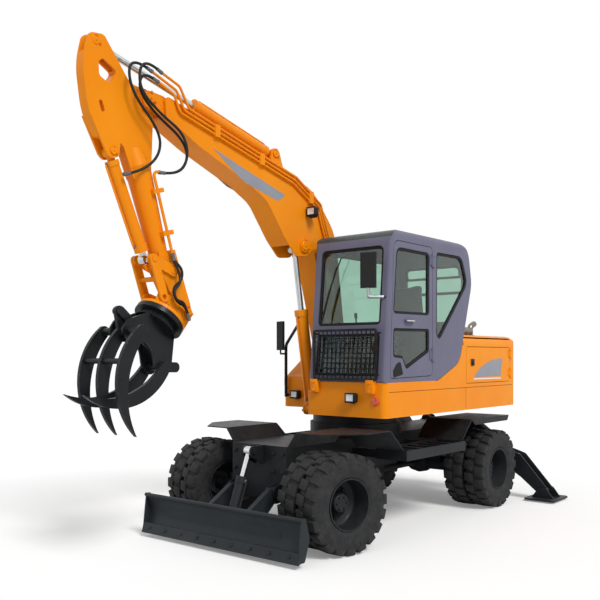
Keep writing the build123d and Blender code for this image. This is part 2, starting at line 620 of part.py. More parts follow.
DOOR = [(806, 1466, 40), (738, 2738, 80), (40, 2738, 60), (40, 1480, 60)]
DOOR_PANES = [
    [(752, 2062, 40), (694, 2676, 80), (100, 2676, 50), (104, 2068, 40)],
    [(748, 1930, 30), (104, 1938, 30), (104, 1716, 40), (528, 1546, 40), (598, 1652, 20), (752, 1664, 30)],
]
REAR_PANE = [(-36, 2700, 40), (-560, 2706, 130), (-690, 2430, 120), (-30, 1760, 60)]
RIGHT_PANE = [(690, 1950, 40), (660, 2690, 70), (-560, 2700, 130), (-640, 2430, 90), (-440, 1950, 60)]
FRONT_PANES = [
    [(150, 1960, 40), (870, 1960, 40), (870, 2690, 60), (150, 2690, 60)],
    [(150, 1490, 40), (870, 1490, 40), (870, 1880, 40), (150, 1880, 40)],
]
BACK_PANE = [(170, 2010, 40), (850, 2010, 40), (850, 2640, 60), (170, 2640, 60)]


CAB_HINGES = ((1640, 1730), (2560, 2650))
SERVICE_HINGES = ((1450, 1520), (DOOR_TOP - 110, DOOR_TOP - 40))


def hinge_pins(x, spans):
    """The fixed half of a door's hinges: a pin between two tabs, its root behind the door's seam."""
    y = HOUSE_Y + HINGE_OUT
    whole = Part()
    for z0, z1 in spans:
        whole = joined(whole, bar((x, y, z0 - 16), (x, y, z1 + 16), HINGE_PIN_R))
        for low in (z0 - 16, z1 + 1):
            whole = joined(whole, block(x - 50, x, HOUSE_Y + 1, y + 6, low, low + 15))
            whole = joined(whole, block(x - 50, x - 30, HOUSE_Y - 4, y + 6, low, low + 15))
            whole = joined(whole, Solid.make_cylinder(HINGE_PIN_R + 2, 15, Plane(origin=(x, y, low))))
    return whole


def door_knuckles(body, x, spans):
    """The door's half: a sleeve on each pin."""
    y = HOUSE_Y + HINGE_OUT
    for z0, z1 in spans:
        body = joined(body, block(x, x + 40, HOUSE_Y + 1, HOUSE_Y + 7, z0, z1))
        body = joined(body, block(x + 12, x + 40, HOUSE_Y - 3, HOUSE_Y + 7, z0, z1))
        body = joined(body, bar((x, y, z0), (x, y, z1), HINGE_PIN_R + 3))
        body = body - bar((x, y, z0 - 1), (x, y, z1 + 1), HINGE_PIN_R + PIN_CLEAR)
    return body


def inset_outline(corners, gap):
    """The outline grown by gap all round (shrunk when gap is negative)."""
    return outline(corners) if gap == 0 else offset(outline(corners), gap).face()


def cab_shell():
    body = cab_form()
    body = body - side_plate(cab_outline(CAB_WALL), CAB_Y0 + CAB_WALL, HOUSE_Y - CAB_WALL)
    body = body - side_plate(outline(DOOR), HOUSE_Y - CAB_WALL - 1, HOUSE_Y + 1)
    body = body - side_plate(outline(REAR_PANE), HOUSE_Y - CAB_WALL - 1, HOUSE_Y + 1)
    body = body - side_plate(outline(RIGHT_PANE), CAB_Y0 - 1, CAB_Y0 + CAB_WALL + 1)
    for pane in FRONT_PANES:
        body = body - front_plate(outline(pane), 600, 1000)
    body = body - front_plate(outline(BACK_PANE), -900, -560)
    return joined(body, hinge_pins(DOOR_HINGE_X, CAB_HINGES))


def cab_glass():
    y = HOUSE_Y - CAB_WALL / 2
    panes = [side_plate(outline(REAR_PANE), y, y + GLASS_T)]
    y = CAB_Y0 + CAB_WALL / 2
    panes.append(side_plate(outline(RIGHT_PANE), y - GLASS_T, y))
    middle = CAB_WALL / 2
    rest = side_plate(cab_outline(middle), CAB_Y0, HOUSE_Y)
    rest = rest - side_plate(cab_outline(middle + GLASS_T), CAB_Y0 - 1, HOUSE_Y + 1)
    for pane in FRONT_PANES:
        panes.append(rest & front_plate(outline(pane), 600, 1000))
    panes.append(rest & front_plate(outline(BACK_PANE), -900, -560))
    return Compound([piece.solids()[0] for piece in panes])


def cab_door():
    body = side_plate(inset_outline(DOOR, -PANEL_GAP), HOUSE_Y - CAB_WALL, HOUSE_Y)
    for pane in DOOR_PANES:
        body = body - side_plate(outline(pane), HOUSE_Y - CAB_WALL - 1, HOUSE_Y + 1)
    handle = outline([(560, 1985, 10), (560, 2015, 10), (440, 2015, 10), (440, 1985, 10)])
    body = joined(body, side_plate(handle, HOUSE_Y - 5, HOUSE_Y + 22))
    return door_knuckles(body, DOOR_HINGE_X, CAB_HINGES)


def door_glass():
    y = HOUSE_Y - CAB_WALL / 2
    return Compound([side_plate(outline(pane), y, y + GLASS_T) for pane in DOOR_PANES])


def cab_seat():
    mid = (CAB_Y0 + HOUSE_Y) / 2
    floor = CAB_FLOOR_Z + CAB_WALL
    base = block(10, 260, mid - 190, mid + 190, floor, floor + 290)
    cushion = side_plate(outline([(-205, floor + 255, 30), (300, floor + 275, 48), (300, floor + 390, 48),
                                  (-205, floor + 360, 30)]), mid - 245, mid + 245)
    back = side_plate(outline([(-230, floor + 330, 30), (-100, floor + 350, 30), (-230, floor + 1000, 40),
                               (-340, floor + 980, 40)]), mid - 235, mid + 235)
    body = joined(base, cushion, back)
    for side in (-1, 1):
        y = mid + side * 315
        body = joined(body, block(10, 330, y - 62, y + 62, floor, floor + 480))
        body = joined(body, block(20, 200, min(mid, y), max(mid, y), floor, floor + 120))
        body = joined(body, bar((250, y, floor + 470), (262, y, floor + 640), 14))
    return body


def engine_hood():
    w = HOOD_WALL
    shape = [(HOOD_FRONT, DECK_Z1, 0), (HOOD_FRONT, HOOD_TOP, 0), (HOOD_REAR, HOOD_TOP, 0),
             (HOOD_REAR, DECK_Z1, 0)]
    body = side_plate(outline(shape), -HOUSE_Y, HOUSE_Y)
    rails = [e for e in body.edges().filter_by(Axis.X) if e.center().Z > HOOD_TOP - 1]
    body = Solid.fillet(body, HOOD_ROUND, rails)
    inner = block(HOOD_REAR - 1, HOOD_FRONT - w, w - HOUSE_Y, HOUSE_Y - w, DECK_Z1 - 1, HOOD_TOP - w)
    body = body - inner
    body = body - side_plate(outline(SERVICE_DOOR), HOUSE_Y - w - 1, HOUSE_Y + 1)
    body = joined(body,
                  block(HOOD_FRONT - 2, PLINTH_REAR, HOUSE_Y - w, HOUSE_Y, DECK_Z1, HOOD_TOP - HOOD_ROUND))
    body = body - side_plate(cab_outline(-PANEL_GAP), CAB_Y0 - PANEL_GAP, HOUSE_Y + 1)
    for i in range(LOUVRES):
        z = SERVICE_DOOR[0][1] + 70 + LOUVRE_PITCH * i
        slot = outline([(-1100, z, 8), (-1560, z, 8), (-1560, z + 18, 8), (-1100, z + 18, 8)])
        body = body - side_plate(slot, -HOUSE_Y - 1, HOOD_WALL + 1 - HOUSE_Y)
    return joined(body, hinge_pins(SERVICE_DOOR[2][0], SERVICE_HINGES))


SERVICE_DOOR = [(-655, 1385, 25), (-655, DOOR_TOP, 25), (-1715, DOOR_TOP, 25), (-1715, 1385, 25)]


def service_door():
    body = side_plate(inset_outline(SERVICE_DOOR, -PANEL_GAP), HOUSE_Y - HOOD_WALL, HOUSE_Y)
    front, low = SERVICE_DOOR[0][0] - 105, SERVICE_DOOR[0][1] + 190
    latch = outline([(front, low, 8), (front, low + 66, 8), (front - 66, low + 66, 8), (front - 66, low, 8)])
    body = joined(body, side_plate(latch, HOUSE_Y - 2, HOUSE_Y + 6))
    return door_knuckles(body, SERVICE_DOOR[2][0], SERVICE_HINGES)


def counterweight():
    waist = HOOD_REAR - 60
    plan = outline([
        (HOOD_REAR, HOUSE_Y, 0), (waist, HOUSE_Y, 50), (WEIGHT_REAR, 780, 130), (WEIGHT_REAR, -780, 130),
        (waist, -HOUSE_Y, 50), (HOOD_REAR, -HOUSE_Y, 0),
    ])
    side = outline([
        (HOOD_REAR, DECK_Z0, 0), (HOOD_REAR, HOOD_TOP, 0), (HOOD_REAR - 20, HOOD_TOP, 40),
        (WEIGHT_REAR + 35, HOOD_TOP - 100, 120), (WEIGHT_REAR + 4, 1500, 300), (WEIGHT_REAR + 8, 1150, 80),
        (WEIGHT_REAR + 30, DECK_Z0, 30),
    ])
    across = outline([
        (-HOUSE_Y, DECK_Z0, 0), (HOUSE_Y, DECK_Z0, 0), (HOUSE_Y, HOOD_TOP, HOOD_ROUND),
        (-HOUSE_Y, HOOD_TOP, HOOD_ROUND),
    ])
    body = flat_plate(plan, DECK_Z0, HOOD_TOP) & side_plate(side, -HOUSE_Y, HOUSE_Y)
    return body & front_plate(across, WEIGHT_REAR - 1, HOOD_REAR)


def right_box():
    """Fuel tank and toolbox cover on the right, stepped down towards the front."""
    shape = outline([
        (HOOD_FRONT, DECK_Z1, 0), (HOOD_FRONT, 1820, 60), (-300, 1680, 80), (0, 1470, 60),
        (RIGHT_FRONT - 2, 1440, 40), (RIGHT_FRONT - 2, DECK_Z1, 0),
    ])
    body = side_plate(shape, -HOUSE_Y, BOOM_Y - BOOM_HALF_W - 60)
    rails = [e for e in body.edges() if e.center().Y < 1 - HOUSE_Y and e.center().Z > DECK_Z1 + 5
             and e.center().X > HOOD_FRONT + 1 and e.center().X < RIGHT_FRONT - 3]
    return Solid.fillet(body, 25, rails)


def engine_block():
    return block(-1480, -820, -420, 420, DECK_Z1, 1760)


def exhaust():
    """A muffler lying along the hood on two saddles, its tail pipe turned back behind it."""
    x, y = TAIL_PIPE
    axis = HOOD_TOP + MUFFLER_R + 8
    way = [(x, y, HOOD_TOP), (x, y, HOOD_TOP + 115), (x - 100, y, HOOD_TOP + 150)]
    pipe = bent_tube(way, TAIL_PIPE_R, 60)
    body = joined(pipe, bar((x, y, HOOD_TOP), (x, y, HOOD_TOP + 18), TAIL_PIPE_R + 14))
    body = joined(body, bar((x + 20, y, axis), (x + MUFFLER_LENGTH, y, axis), MUFFLER_R))
    for along in (0.25, 0.85):
        middle = x + MUFFLER_LENGTH * along
        body = joined(body, block(middle - 15, middle + 15, y - 40, y + 40, HOOD_TOP, axis))
    return body


def front_guard():
    """Welded mesh over the lower half of the windscreen."""
    x0, x1 = 905, 917
    y0, y1, z0, z1 = 150, 880, 1445, 1925
    pitch = 48.0
    across = int((y1 - y0 - 40) / pitch)
    high = int((z1 - z0 - 40) / pitch)
    wires = []
    for i in range(across):
        for j in range(high):
            a = y0 + 20 + (y1 - y0 - 40) * i / across
            b = z0 + 20 + (z1 - z0 - 40) * j / high
            da = (y1 - y0 - 40) / across
            db = (z1 - z0 - 40) / high
            wires.append(Wire.make_polygon([(a + 3, b + 3), (a + da - 3, b + 3), (a + da - 3, b + db - 3),
                                            (a + 3, b + db - 3)]))
    frame = outline([(y0, z0, 30), (y1, z0, 30), (y1, z1, 30), (y0, z1, 30)]).outer_wire()
    body = front_plate(Face(frame, wires), x0, x1)
    for y in (y0 + 10, y1 - 10):
        for z in (z0 + 60, z1 - 40):
            body = joined(body, bar((830, y, z), (x1, y, z), 9))
    return body - cab_form()


def handrail():
    foot = (RIGHT_FRONT + 40, RAIL_IN - HOUSE_Y)
    path = [(foot[0], foot[1], 1220), (foot[0], foot[1], 1800), (-240, foot[1], 2180), (-240, foot[1], 1700)]
    rail = bent_tube(path, RAIL_R, 90)
    clamp = bar((RIGHT_FRONT, foot[1], 1240), (foot[0], foot[1], 1240), 14)
    return joined(rail, clamp)


def mirrors():
    head = flat_plate(outline([(-14, -75, 12), (14, -75, 12), (14, 75, 12), (-14, 75, 12)]), -160, 160)
    left = joined(Pos(930, 800, 2450) * Rot(0, 0, 20) * head,
                  bar((930, 800, 2300), (930, 800, 2210), 9), bar((790, 930, 2210), (930, 800, 2210), 11))
    left = left - cab_form()
    foot_x = RIGHT_FRONT + 40
    rail_y = RAIL_IN - HOUSE_Y
    right = joined(Pos(foot_x + 70, rail_y - 20, 1900) * Rot(0, 0, -20) * head,
                   bar((foot_x + 70, rail_y - 20, 1750), (foot_x + 70, rail_y - 20, 1700), 9),
                   bar((foot_x, rail_y, 1700), (foot_x + 70, rail_y - 20, 1700), 10))
    right = right - bar((foot_x, rail_y, 1650), (foot_x, rail_y, 1750), RAIL_R)
    return Compound([left, right])


def lamp():
    """A square work lamp facing +X, its back at the origin."""
    body = front_plate(outline([(-55, -45, 18), (55, -45, 18), (55, 45, 18), (-55, 45, 18)]), 10, 60)
    return joined(body, block(0, 14, -18, 18, -55, 0))


def work_lamps():
    return Compound([
        Pos(CAB_DECK_FRONT, 600, 1290) * lamp(), Pos(RIGHT_FRONT, -740, 1250) * lamp(),
    ])


# Boom


FOOT_X, FOOT_Z = BOOM_FOOT
HEAD_X, HEAD_Z = ARM_PIVOT
# The boom's side from its head along the belly to its foot and back along the top: (x, z, corner radius).
BOOM_SIDE = [
    (HEAD_X - 147, HEAD_Z - 115, 30), (HEAD_X - 507, HEAD_Z - 275, 900), (HEAD_X - 1127, HEAD_Z - 489, 900),
    (HEAD_X - 1367, HEAD_Z - 605, 300), (BOOM_CYL_EYE[0] + 280, BOOM_CYL_EYE[1] + 50, 180),
    (BOOM_CYL_EYE[0] + 110, BOOM_CYL_EYE[1] - 110, 90), (BOOM_CYL_EYE[0] - 70, BOOM_CYL_EYE[1] - 90, 90),
    (BOOM_CYL_EYE[0] - 150, BOOM_CYL_EYE[1] + 10, 40), (FOOT_X + 130, FOOT_Z + 110, 400),
    (FOOT_X + 70, FOOT_Z - 50, 70), (FOOT_X - 70, FOOT_Z - 50, 70), (FOOT_X - 80, FOOT_Z + 110, 300),
    (FOOT_X + 130, FOOT_Z + 1470, 500), (FOOT_X + 490, FOOT_Z + 1860, 500), (ARM_CYL_BASE[0] - 60, 3440, 900),
    (HEAD_X - 132, HEAD_Z + 61, 40),
]
# The hollow between its plates, open below where the boom's cylinder enters.
BOOM_HOLLOW = [
    (HEAD_X - 287, HEAD_Z - 130, 40), (HEAD_X - 507, HEAD_Z - 227, 600), (HEAD_X - 1127, HEAD_Z - 453, 600),
    (HEAD_X - 1377, HEAD_Z - 555, 200), (BOOM_CYL_EYE[0] + 240, BOOM_CYL_EYE[1] + 110, 60),
    (BOOM_CYL_EYE[0] + 180, BOOM_CYL_EYE[1] - 150, 0), (BOOM_CYL_EYE[0] - 115, BOOM_CYL_EYE[1] - 150, 0),
    (BOOM_CYL_EYE[0] - 115, BOOM_CYL_EYE[1] + 110, 0), (BOOM_CYL_EYE[0] - 155, BOOM_CYL_EYE[1] + 110, 10),
    (FOOT_X + 125, FOOT_Z + 210, 40), (FOOT_X - 10, FOOT_Z + 210, 40), (FOOT_X + 170, FOOT_Z + 1450, 400),
    (FOOT_X + 510, FOOT_Z + 1810, 400), (ARM_CYL_BASE[0] - 60, 3390, 700), (HEAD_X - 287, HEAD_Z - 21, 40),
]


def boom_box():
    body = side_plate(outline(BOOM_SIDE), BOOM_Y - BOOM_HALF_W, BOOM_Y + BOOM_HALF_W)
    half = BOOM_HALF_W - BOOM_PLATE
    body = body - side_plate(outline(BOOM_HOLLOW), BOOM_Y - half, BOOM_Y + half)
    body = body - cross_pin(BOOM_FOOT, BOOM_Y - 200, BOOM_Y + 200, BOOM_PIN_R + PIN_CLEAR)
    for side in (-1, 1):
        y = BOOM_Y + side * BOOM_HALF_W
        boss = cross_pin(BOOM_CYL_EYE, min(y, y + side * 22), max(y, y + side * 22), 62)
        body = joined(body, boss)
    for side in (-1, 1):
        y = BOOM_Y + side * (ARM_HEAD_HALF + SIDE_GAP)
        fork = outline([
            (HEAD_X - 227, HEAD_Z - 125, 0), (HEAD_X - 147, HEAD_Z - 113, 0), (HEAD_X + 66, HEAD_Z - 66, 62),
            (HEAD_X + 66, HEAD_Z + 66, 62), (HEAD_X - 137, HEAD_Z + 55, 0), (HEAD_X - 227, HEAD_Z + 20, 0),
        ])
        body = joined(body, side_plate(fork, y, y + side * 40))
    reach = ARM_HEAD_HALF + SIDE_GAP + 52
    body = joined(body, cross_pin(ARM_PIVOT, BOOM_Y - reach, BOOM_Y + reach, 34))
    x, z = ARM_CYL_BASE
    for side in (-1, 1):
        y = BOOM_Y + side * (40 + SIDE_GAP)
        lug = outline([(x - 150, z - 200, 0), (x - 52, z + 52, 48), (x + 52, z + 52, 48),
                       (x + 70, z - 150, 0)])
        body = joined(body, side_plate(lug, y, y + side * 22))
    reach = 40 + SIDE_GAP + 30
    return joined(body, cross_pin(ARM_CYL_BASE, BOOM_Y - reach, BOOM_Y + reach, 28))


# The three pipes along the boom's left side, from its foot to their raised ends, each (x, z).
BOOM_PIPES = [
    [(380, 2680), (600, 3190), (980, 3395), (2370, 3716), (2472, 3875), (2672, 3936)],
    [(402, 2640), (622, 3160), (1000, 3362), (2420, 3690), (2505, 3832), (2772, 3918)],
    [(424, 2600), (644, 3130), (1020, 3328), (2470, 3663), (2530, 3790), (2709, 3853)],
]
PIPE_R = 11
PIPE_Y = BOOM_Y + BOOM_HALF_W + 18
PIPE_CLAMPS = [(760, 3175, 3292), (1480, 3420, 3525), (2050, 3552, 3657)]


def boom_pipes():
    face = BOOM_Y + BOOM_HALF_W
    whole = Part()
    for way in BOOM_PIPES:
        whole = joined(whole, bent_tube([(x, PIPE_Y, z) for x, z in way], PIPE_R, 60))
    for x, low, high in PIPE_CLAMPS:
        whole = joined(whole, block(x - 30, x + 30, face, PIPE_Y + PIPE_R + 5, low, high))
    return whole


def boom_lamp():
    y = BOOM_Y + BOOM_HALF_W
    return joined(Pos(760, y + 70, 3085) * lamp(), block(720, 775, y, y + 75, 3040, 3060))


# Arm and grapple


def arm_body():
    half, plate = ARM_HEAD_HALF, ARM_HEAD_PLATE
    (tail_x, tail_z), (base_x, base_z) = ARM_TAIL, TILT_CYL_BASE
    (x0, z0), (x1, z1) = ARM_TUBE_TOP, ARM_TUBE_LOW
    head = [
        (tail_x - 75, tail_z + 65, 50), (tail_x + 65, tail_z + 45, 70), (tail_x + 120, tail_z - 185, 600),
        (base_x + 215, base_z + 240, 600), (base_x + 115, base_z + 90, 50), (base_x - 95, base_z + 90, 80),
        (x0 + 60, z0 - 135, 60), (x0 - 100, z0 - 135, 60), (HEAD_X - 57, HEAD_Z - 475, 120),
        (HEAD_X - 75, HEAD_Z - 65, 80), (HEAD_X - 47, HEAD_Z + 85, 80), (HEAD_X + 153, HEAD_Z + 85, 120),
    ]
    body = side_plate(outline(head), BOOM_Y - half, BOOM_Y + half)
    pocket = [
        (tail_x - 265, tail_z + 255, 0), (tail_x + 195, tail_z + 255, 0), (tail_x + 195, tail_z - 85, 0),
        (tail_x + 15, tail_z - 115, 60), (tail_x - 175, tail_z - 185, 60), (tail_x - 325, tail_z - 85, 0),
    ]
    body = body - side_plate(outline(pocket), BOOM_Y - half + plate, BOOM_Y + half - plate)
    hole = [
        (tail_x - 65, tail_z - 115, 20), (tail_x - 195, tail_z - 183, 25), (tail_x - 125, tail_z - 295, 30),
        (tail_x - 30, tail_z - 255, 40), (tail_x - 25, tail_z - 155, 30),
    ]
    body = body - side_plate(outline(hole), BOOM_Y - 100, BOOM_Y + 100)
    slot = [
        (tail_x - 55, tail_z - 430, 14), (tail_x - 25, tail_z - 445, 14), (tail_x - 55, tail_z - 530, 14),
        (tail_x - 85, tail_z - 515, 14),
    ]
    body = body - side_plate(outline(slot), BOOM_Y - 100, BOOM_Y + 100)
    run = hypot(x1 - x0, z1 - z0)
    tube = Solid.make_cone(ARM_TUBE_R0, ARM_TUBE_R1, run,
                           Plane(origin=(x0, BOOM_Y, z0), z_dir=(x1 - x0, 0, z1 - z0)))
    start = (x0 - (x1 - x0) / run * ARM_COLLAR, BOOM_Y, z0 - (z1 - z0) / run * ARM_COLLAR)
    collar = Solid.make_cone(60, ARM_TUBE_R0, ARM_COLLAR, Plane(origin=start, z_dir=(x1 - x0, 0, z1 - z0)))
    tip = outline([
        (x1 - 92, z1 + 120, 0), (x1 + 80, z1 + 80, 0), (x1 + 60, z1 - 60, 90),
        (ARM_TIP[0] + 62, ARM_TIP[1] - 20, 58), (ARM_TIP[0] - 62, ARM_TIP[1] - 50, 58),
        (ARM_TIP[0] - 60, ARM_TIP[1] + 60, 60),
    ])
    body = joined(body, tube, collar, side_plate(tip, BOOM_Y - ARM_TIP_HALF, BOOM_Y + ARM_TIP_HALF))
    for side in (-1, 1):
        y = BOOM_Y + side * (34 + SIDE_GAP)
        lug = outline([(base_x - 80, base_z + 170, 0), (base_x + 205, base_z + 240, 0),
                       (base_x + 62, base_z - 20, 60), (base_x + 20, base_z - 58, 50),
                       (base_x - 56, base_z - 36, 46)])
        body = joined(body, side_plate(lug, y, y + side * 18))
    reach = 34 + SIDE_GAP + 26
    body = joined(body, cross_pin(TILT_CYL_BASE, BOOM_Y - reach, BOOM_Y + reach, 24))
    body = body - cross_pin(ARM_PIVOT, BOOM_Y - 200, BOOM_Y + 200, 34 + PIN_CLEAR)
    body = body - cross_pin(ROCKER_PIVOT, BOOM_Y - 200, BOOM_Y + 200, 24 + PIN_CLEAR)
    return body - cross_pin(ARM_TIP, BOOM_Y - 200, BOOM_Y + 200, 30 + PIN_CLEAR)


# Arm pipes: each place beside the arm's tube, (across, behind), and the run from its top to its end.
ARM_PIPES = [(86, 78), (116, 48)]
ARM_PIPE_RUN = (60, 740)
ARM_ELBOW = 75
ARM_WAY = Vector(ARM_TUBE_LOW[0] - ARM_TUBE_TOP[0], 0, ARM_TUBE_LOW[1] - ARM_TUBE_TOP[1]).normalized()
ARM_BACK = Vector(ARM_WAY.Z, 0, -ARM_WAY.X)


def arm_pipe_line(across, behind):
    """A point of the arm pipe, level with the tube's top."""
    return Vector(ARM_TUBE_TOP[0], BOOM_Y + across, ARM_TUBE_TOP[1]) + ARM_BACK * behind


def arm_pipe_top(across, behind):
    return arm_pipe_line(across, behind) + ARM_WAY * ARM_PIPE_RUN[0]


def arm_pipes():
    whole = Part()
    for across, behind in ARM_PIPES:
        top = arm_pipe_top(across, behind)
        low = arm_pipe_line(across, behind) + ARM_WAY * ARM_PIPE_RUN[1]
        whole = joined(whole, bent_tube([top - Vector(ARM_ELBOW, 0, 0), top, low], PIPE_R, 34))
    middle = arm_pipe_line(70, 50)
    for run in (220, 560):
        at = middle + ARM_WAY * run
        whole = joined(whole,
                       Pos(*at) * Rot(0, degrees(atan2(-ARM_WAY.X, -ARM_WAY.Z)), 0) * Box(110, 120, 36))
    length = hypot(ARM_TUBE_LOW[0] - ARM_TUBE_TOP[0], ARM_TUBE_LOW[1] - ARM_TUBE_TOP[1])
    top = Plane(origin=(ARM_TUBE_TOP[0], BOOM_Y, ARM_TUBE_TOP[1]), z_dir=ARM_WAY)
    return whole - Solid.make_cone(ARM_TUBE_R0, ARM_TUBE_R1, length, top)


# Hoses: three from the boom's pipes over the arm's joint, two from the arm's pipes down to the grapple.
HOSE_R = 11
HOSE_GAP = 4
HOSE_OUT = 50
BOOM_HOSES = [
    [(2985, -2, 3986), (2990, 4, 3720), (2695, 14, 3460), (2690, 12, 3270), (2840, -24, 3120),
     (2985, -46, 3075)],
    [(2880, 26, 3999), (2935, 36, 3745), (2720, 40, 3590), (2470, 40, 3490), (2405, 36, 3310),
     (2470, -10, 3152)],
    [(2850, -4, 3900), (2905, 2, 3740), (2740, 4, 3590), (2450, 8, 3450), (2380, 4, 3300), (2460, -42, 3160)],
]
HOSE_PIPES = [(1, None), (0, 1), (2, 0)]
GRAPPLE_HOSES = [
    [(2425, -20, 2388), (2440, -14, 2290), (2545, -10, 2230), (2500, -10, 2110), (2390, -10, 2085),
     (2372, -10, 1990)],
    [(2470, -4, 2350), (2478, 18, 2270), (2560, 20, 2200), (2530, 20, 2125), (2430, 20, 2115),
     (2395, 20, 1985)],
]


def hose(points):
    """A hose through the points: straight runs and tangent arcs."""
    points = [Vector(p) for p in points]
    bends = []
    for a, b, c in zip(points, points[1:], points[2:]):
        half_turn = radians((b - a).get_angle(c - b)) / 2
        bends.append(0.45 * min((b - a).length, (c - b).length) / tan(half_turn))
    path = FilletPolyline(*points, radius=bends)
    start = Plane(origin=path @ 0, z_dir=path % 0)
    return sweep(start * Circle(HOSE_R), path=path)


def hoses():
    ways = []
    for way, (pipe, far) in zip(BOOM_HOSES, HOSE_PIPES):
        (x0, z0), (x1, z1) = BOOM_PIPES[pipe][-2:]
        run = hypot(x1 - x0, z1 - z0)
        start = (x1 + (x1 - x0) / run * HOSE_GAP, PIPE_Y, z1 + (z1 - z0) / run * HOSE_GAP)
        end = [] if far is None else [arm_pipe_top(*ARM_PIPES[far]) - Vector(ARM_ELBOW + HOSE_GAP, 0, 0)]
        ways.append([start] + way + end)
    for way, place in zip(GRAPPLE_HOSES, ARM_PIPES):
        line, end = arm_pipe_line(*place), ARM_PIPE_RUN[1]
        ways.append([line + ARM_WAY * (end + HOSE_GAP), line + ARM_WAY * (end + HOSE_OUT)] + way)
    return Compound([hose(way) for way in ways])


def rocker():
    """Two levers on one shaft through the arm, with stub pins for the links."""
    dx, dz = ROCKER_EYE[0] - ROCKER_PIVOT[0], ROCKER_EYE[1] - ROCKER_PIVOT[1]
    run = hypot(dx, dz)
    lever = outline([(-46, -46, 44), (run + 40, -40, 38), (run + 40, 40, 38), (-46, 46, 44)])
    inner = ARM_TIP_HALF + SIDE_GAP
    body = bar((0, -inner - 18, 0), (0, inner + 18, 0), 24)
    for side in (-1, 1):
        y = side * inner
        body = joined(body, side_plate(lever, y, y + side * 18))
        y = side * (inner + 18)
        body = joined(body, bar((run, y, 0), (run, y + side * (2 * SIDE_GAP + 22), 0), 22))
    return Pos(ROCKER_PIVOT[0], BOOM_Y, ROCKER_PIVOT[1]) * Rot(0, -degrees(atan2(dz, dx)), 0) * body


def tilt_link():
    dx, dz = LINK_EYE[0] - ROCKER_EYE[0], LINK_EYE[1] - ROCKER_EYE[1]
    run = hypot(dx, dz)
    link = outline([(-40, -40, 38), (run + 40, -40, 38), (run + 40, 40, 38), (-40, 40, 38)])
    inner = ARM_TIP_HALF + 2 * SIDE_GAP + 18
    body = bar((run * 0.52, -inner - 10, 0), (run * 0.52, inner + 10, 0), 20)
    for side in (-1, 1):
        y = side * inner
        body = joined(body, side_plate(link, y, y + side * 20))
    for at in (0, run):
        body = body - bar((at, -300, 0), (at, 300, 0), 22 + PIN_CLEAR)
    return Pos(ROCKER_EYE[0], BOOM_Y, ROCKER_EYE[1]) * Rot(0, -degrees(atan2(dz, dx)), 0) * body


# In the grapple's own frame the turning axis is local -Z, the front jaw is on local +X.
GRAPPLE = Pos(RING_CENTRE[0], BOOM_Y, RING_CENTRE[1]) * Rot(0, -GRAPPLE_TILT, 0)


def local(at):
    """A side view point of the machine as (front, up) in the grapple's frame."""
    dx, dz = at[0] - RING_CENTRE[0], at[1] - RING_CENTRE[1]
    a = radians(GRAPPLE_TILT)
    return (dx * cos(a) + dz * sin(a), -dx * sin(a) + dz * cos(a))


def grapple_bracket():
    tip, eye = local(ARM_TIP), local(LINK_EYE)
    inner = ARM_TIP_HALF + SIDE_GAP
    cheek = outline([
        (-190, -4, 0), (tip[0] - 62, tip[1] + 30, 58), (tip[0] + 20, tip[1] + 66, 58), (eye[0] - 10,
                                                                                        eye[1] + 50, 44),
        (eye[0] + 50, eye[1] + 20, 44), (185, -4, 0),
    ])
    body = Solid.make_cylinder(FLANGE_R, 26, Plane(origin=(0, 0, -28)))
    body = joined(body, Solid.make_cylinder(60, 110, Plane(origin=(0, 0, -130))))
    for side in (-1, 1):
        y = side * inner
        body = joined(body, side_plate(cheek, y, y + side * 18))
    body = joined(body, bar((tip[0], -inner - 30, tip[1]), (tip[0], inner + 30, tip[1]), 30))
    spare = local((2571, 2071))
    return body - bar((spare[0], -200, spare[1]), (spare[0], 200, spare[1]), 24)


def grapple_head():
    top = -28 - SIDE_GAP
    body = Solid.make_cylinder(FLANGE_R + 8, 40, Plane(origin=(0, 0, top - 40)))
    body = joined(body,
                  Solid.make_cone(FLANGE_R - 20, FLANGE_R - 45, 60,
                                  Plane(origin=(0, 0, top - 98), z_dir=(0, 0, 1))))
    body = body - Solid.make_cylinder(60 + PIN_CLEAR, 400, Plane(origin=(0, 0, -300)))
    down, out = JAW_PIVOT
    cheek = outline([
        (-150, top - 60, 0), (150, top - 60, 0), (out + 70, 60 - down, 60), (out + 58, -down - 58, 56),
        (out - 58, -down - 58, 56), (0, -290, 120), (58 - out, -down - 58, 56), (-out - 58, -down - 58, 56),
        (-out - 70, 60 - down, 60),
    ])
    for side in (-1, 1):
        y = side * 70
        body = joined(body, side_plate(cheek, y, y + side * 18))
    for n in (-out, out):
        body = body - bar((n, -200, -down), (n, 200, -down), JAW_TUBE_R + PIN_CLEAR)
    return body


def tine_outline():
    """One crescent tine of the front jaw seen from the side, (front, up)."""
    down, out = JAW_PIVOT
    back = ThreePointArc((out + 46, -down), (250, -640), (-255, -1024))
    face = ThreePointArc((-255, -1024), (128, -640), (out - 46, -down))
    top = ThreePointArc((out - 46, -down), (out, 46 - down), (out + 46, -down))
    return make_face([back, face, top]).face()


def horn_outline():
    """Lever from the jaw's pivot to its cylinder pin."""
    (down, out), (up, far) = JAW_PIVOT, JAW_HORN
    run = hypot(far - out, down - up)
    lever = outline([(-42, -42, 41.5), (run + 42, -42, 41.5), (run + 42, 42, 41.5), (-42, 42, 41.5)])
    return Pos(out, -down) * Rot(0, 0, degrees(atan2(down - up, far - out))) * lever


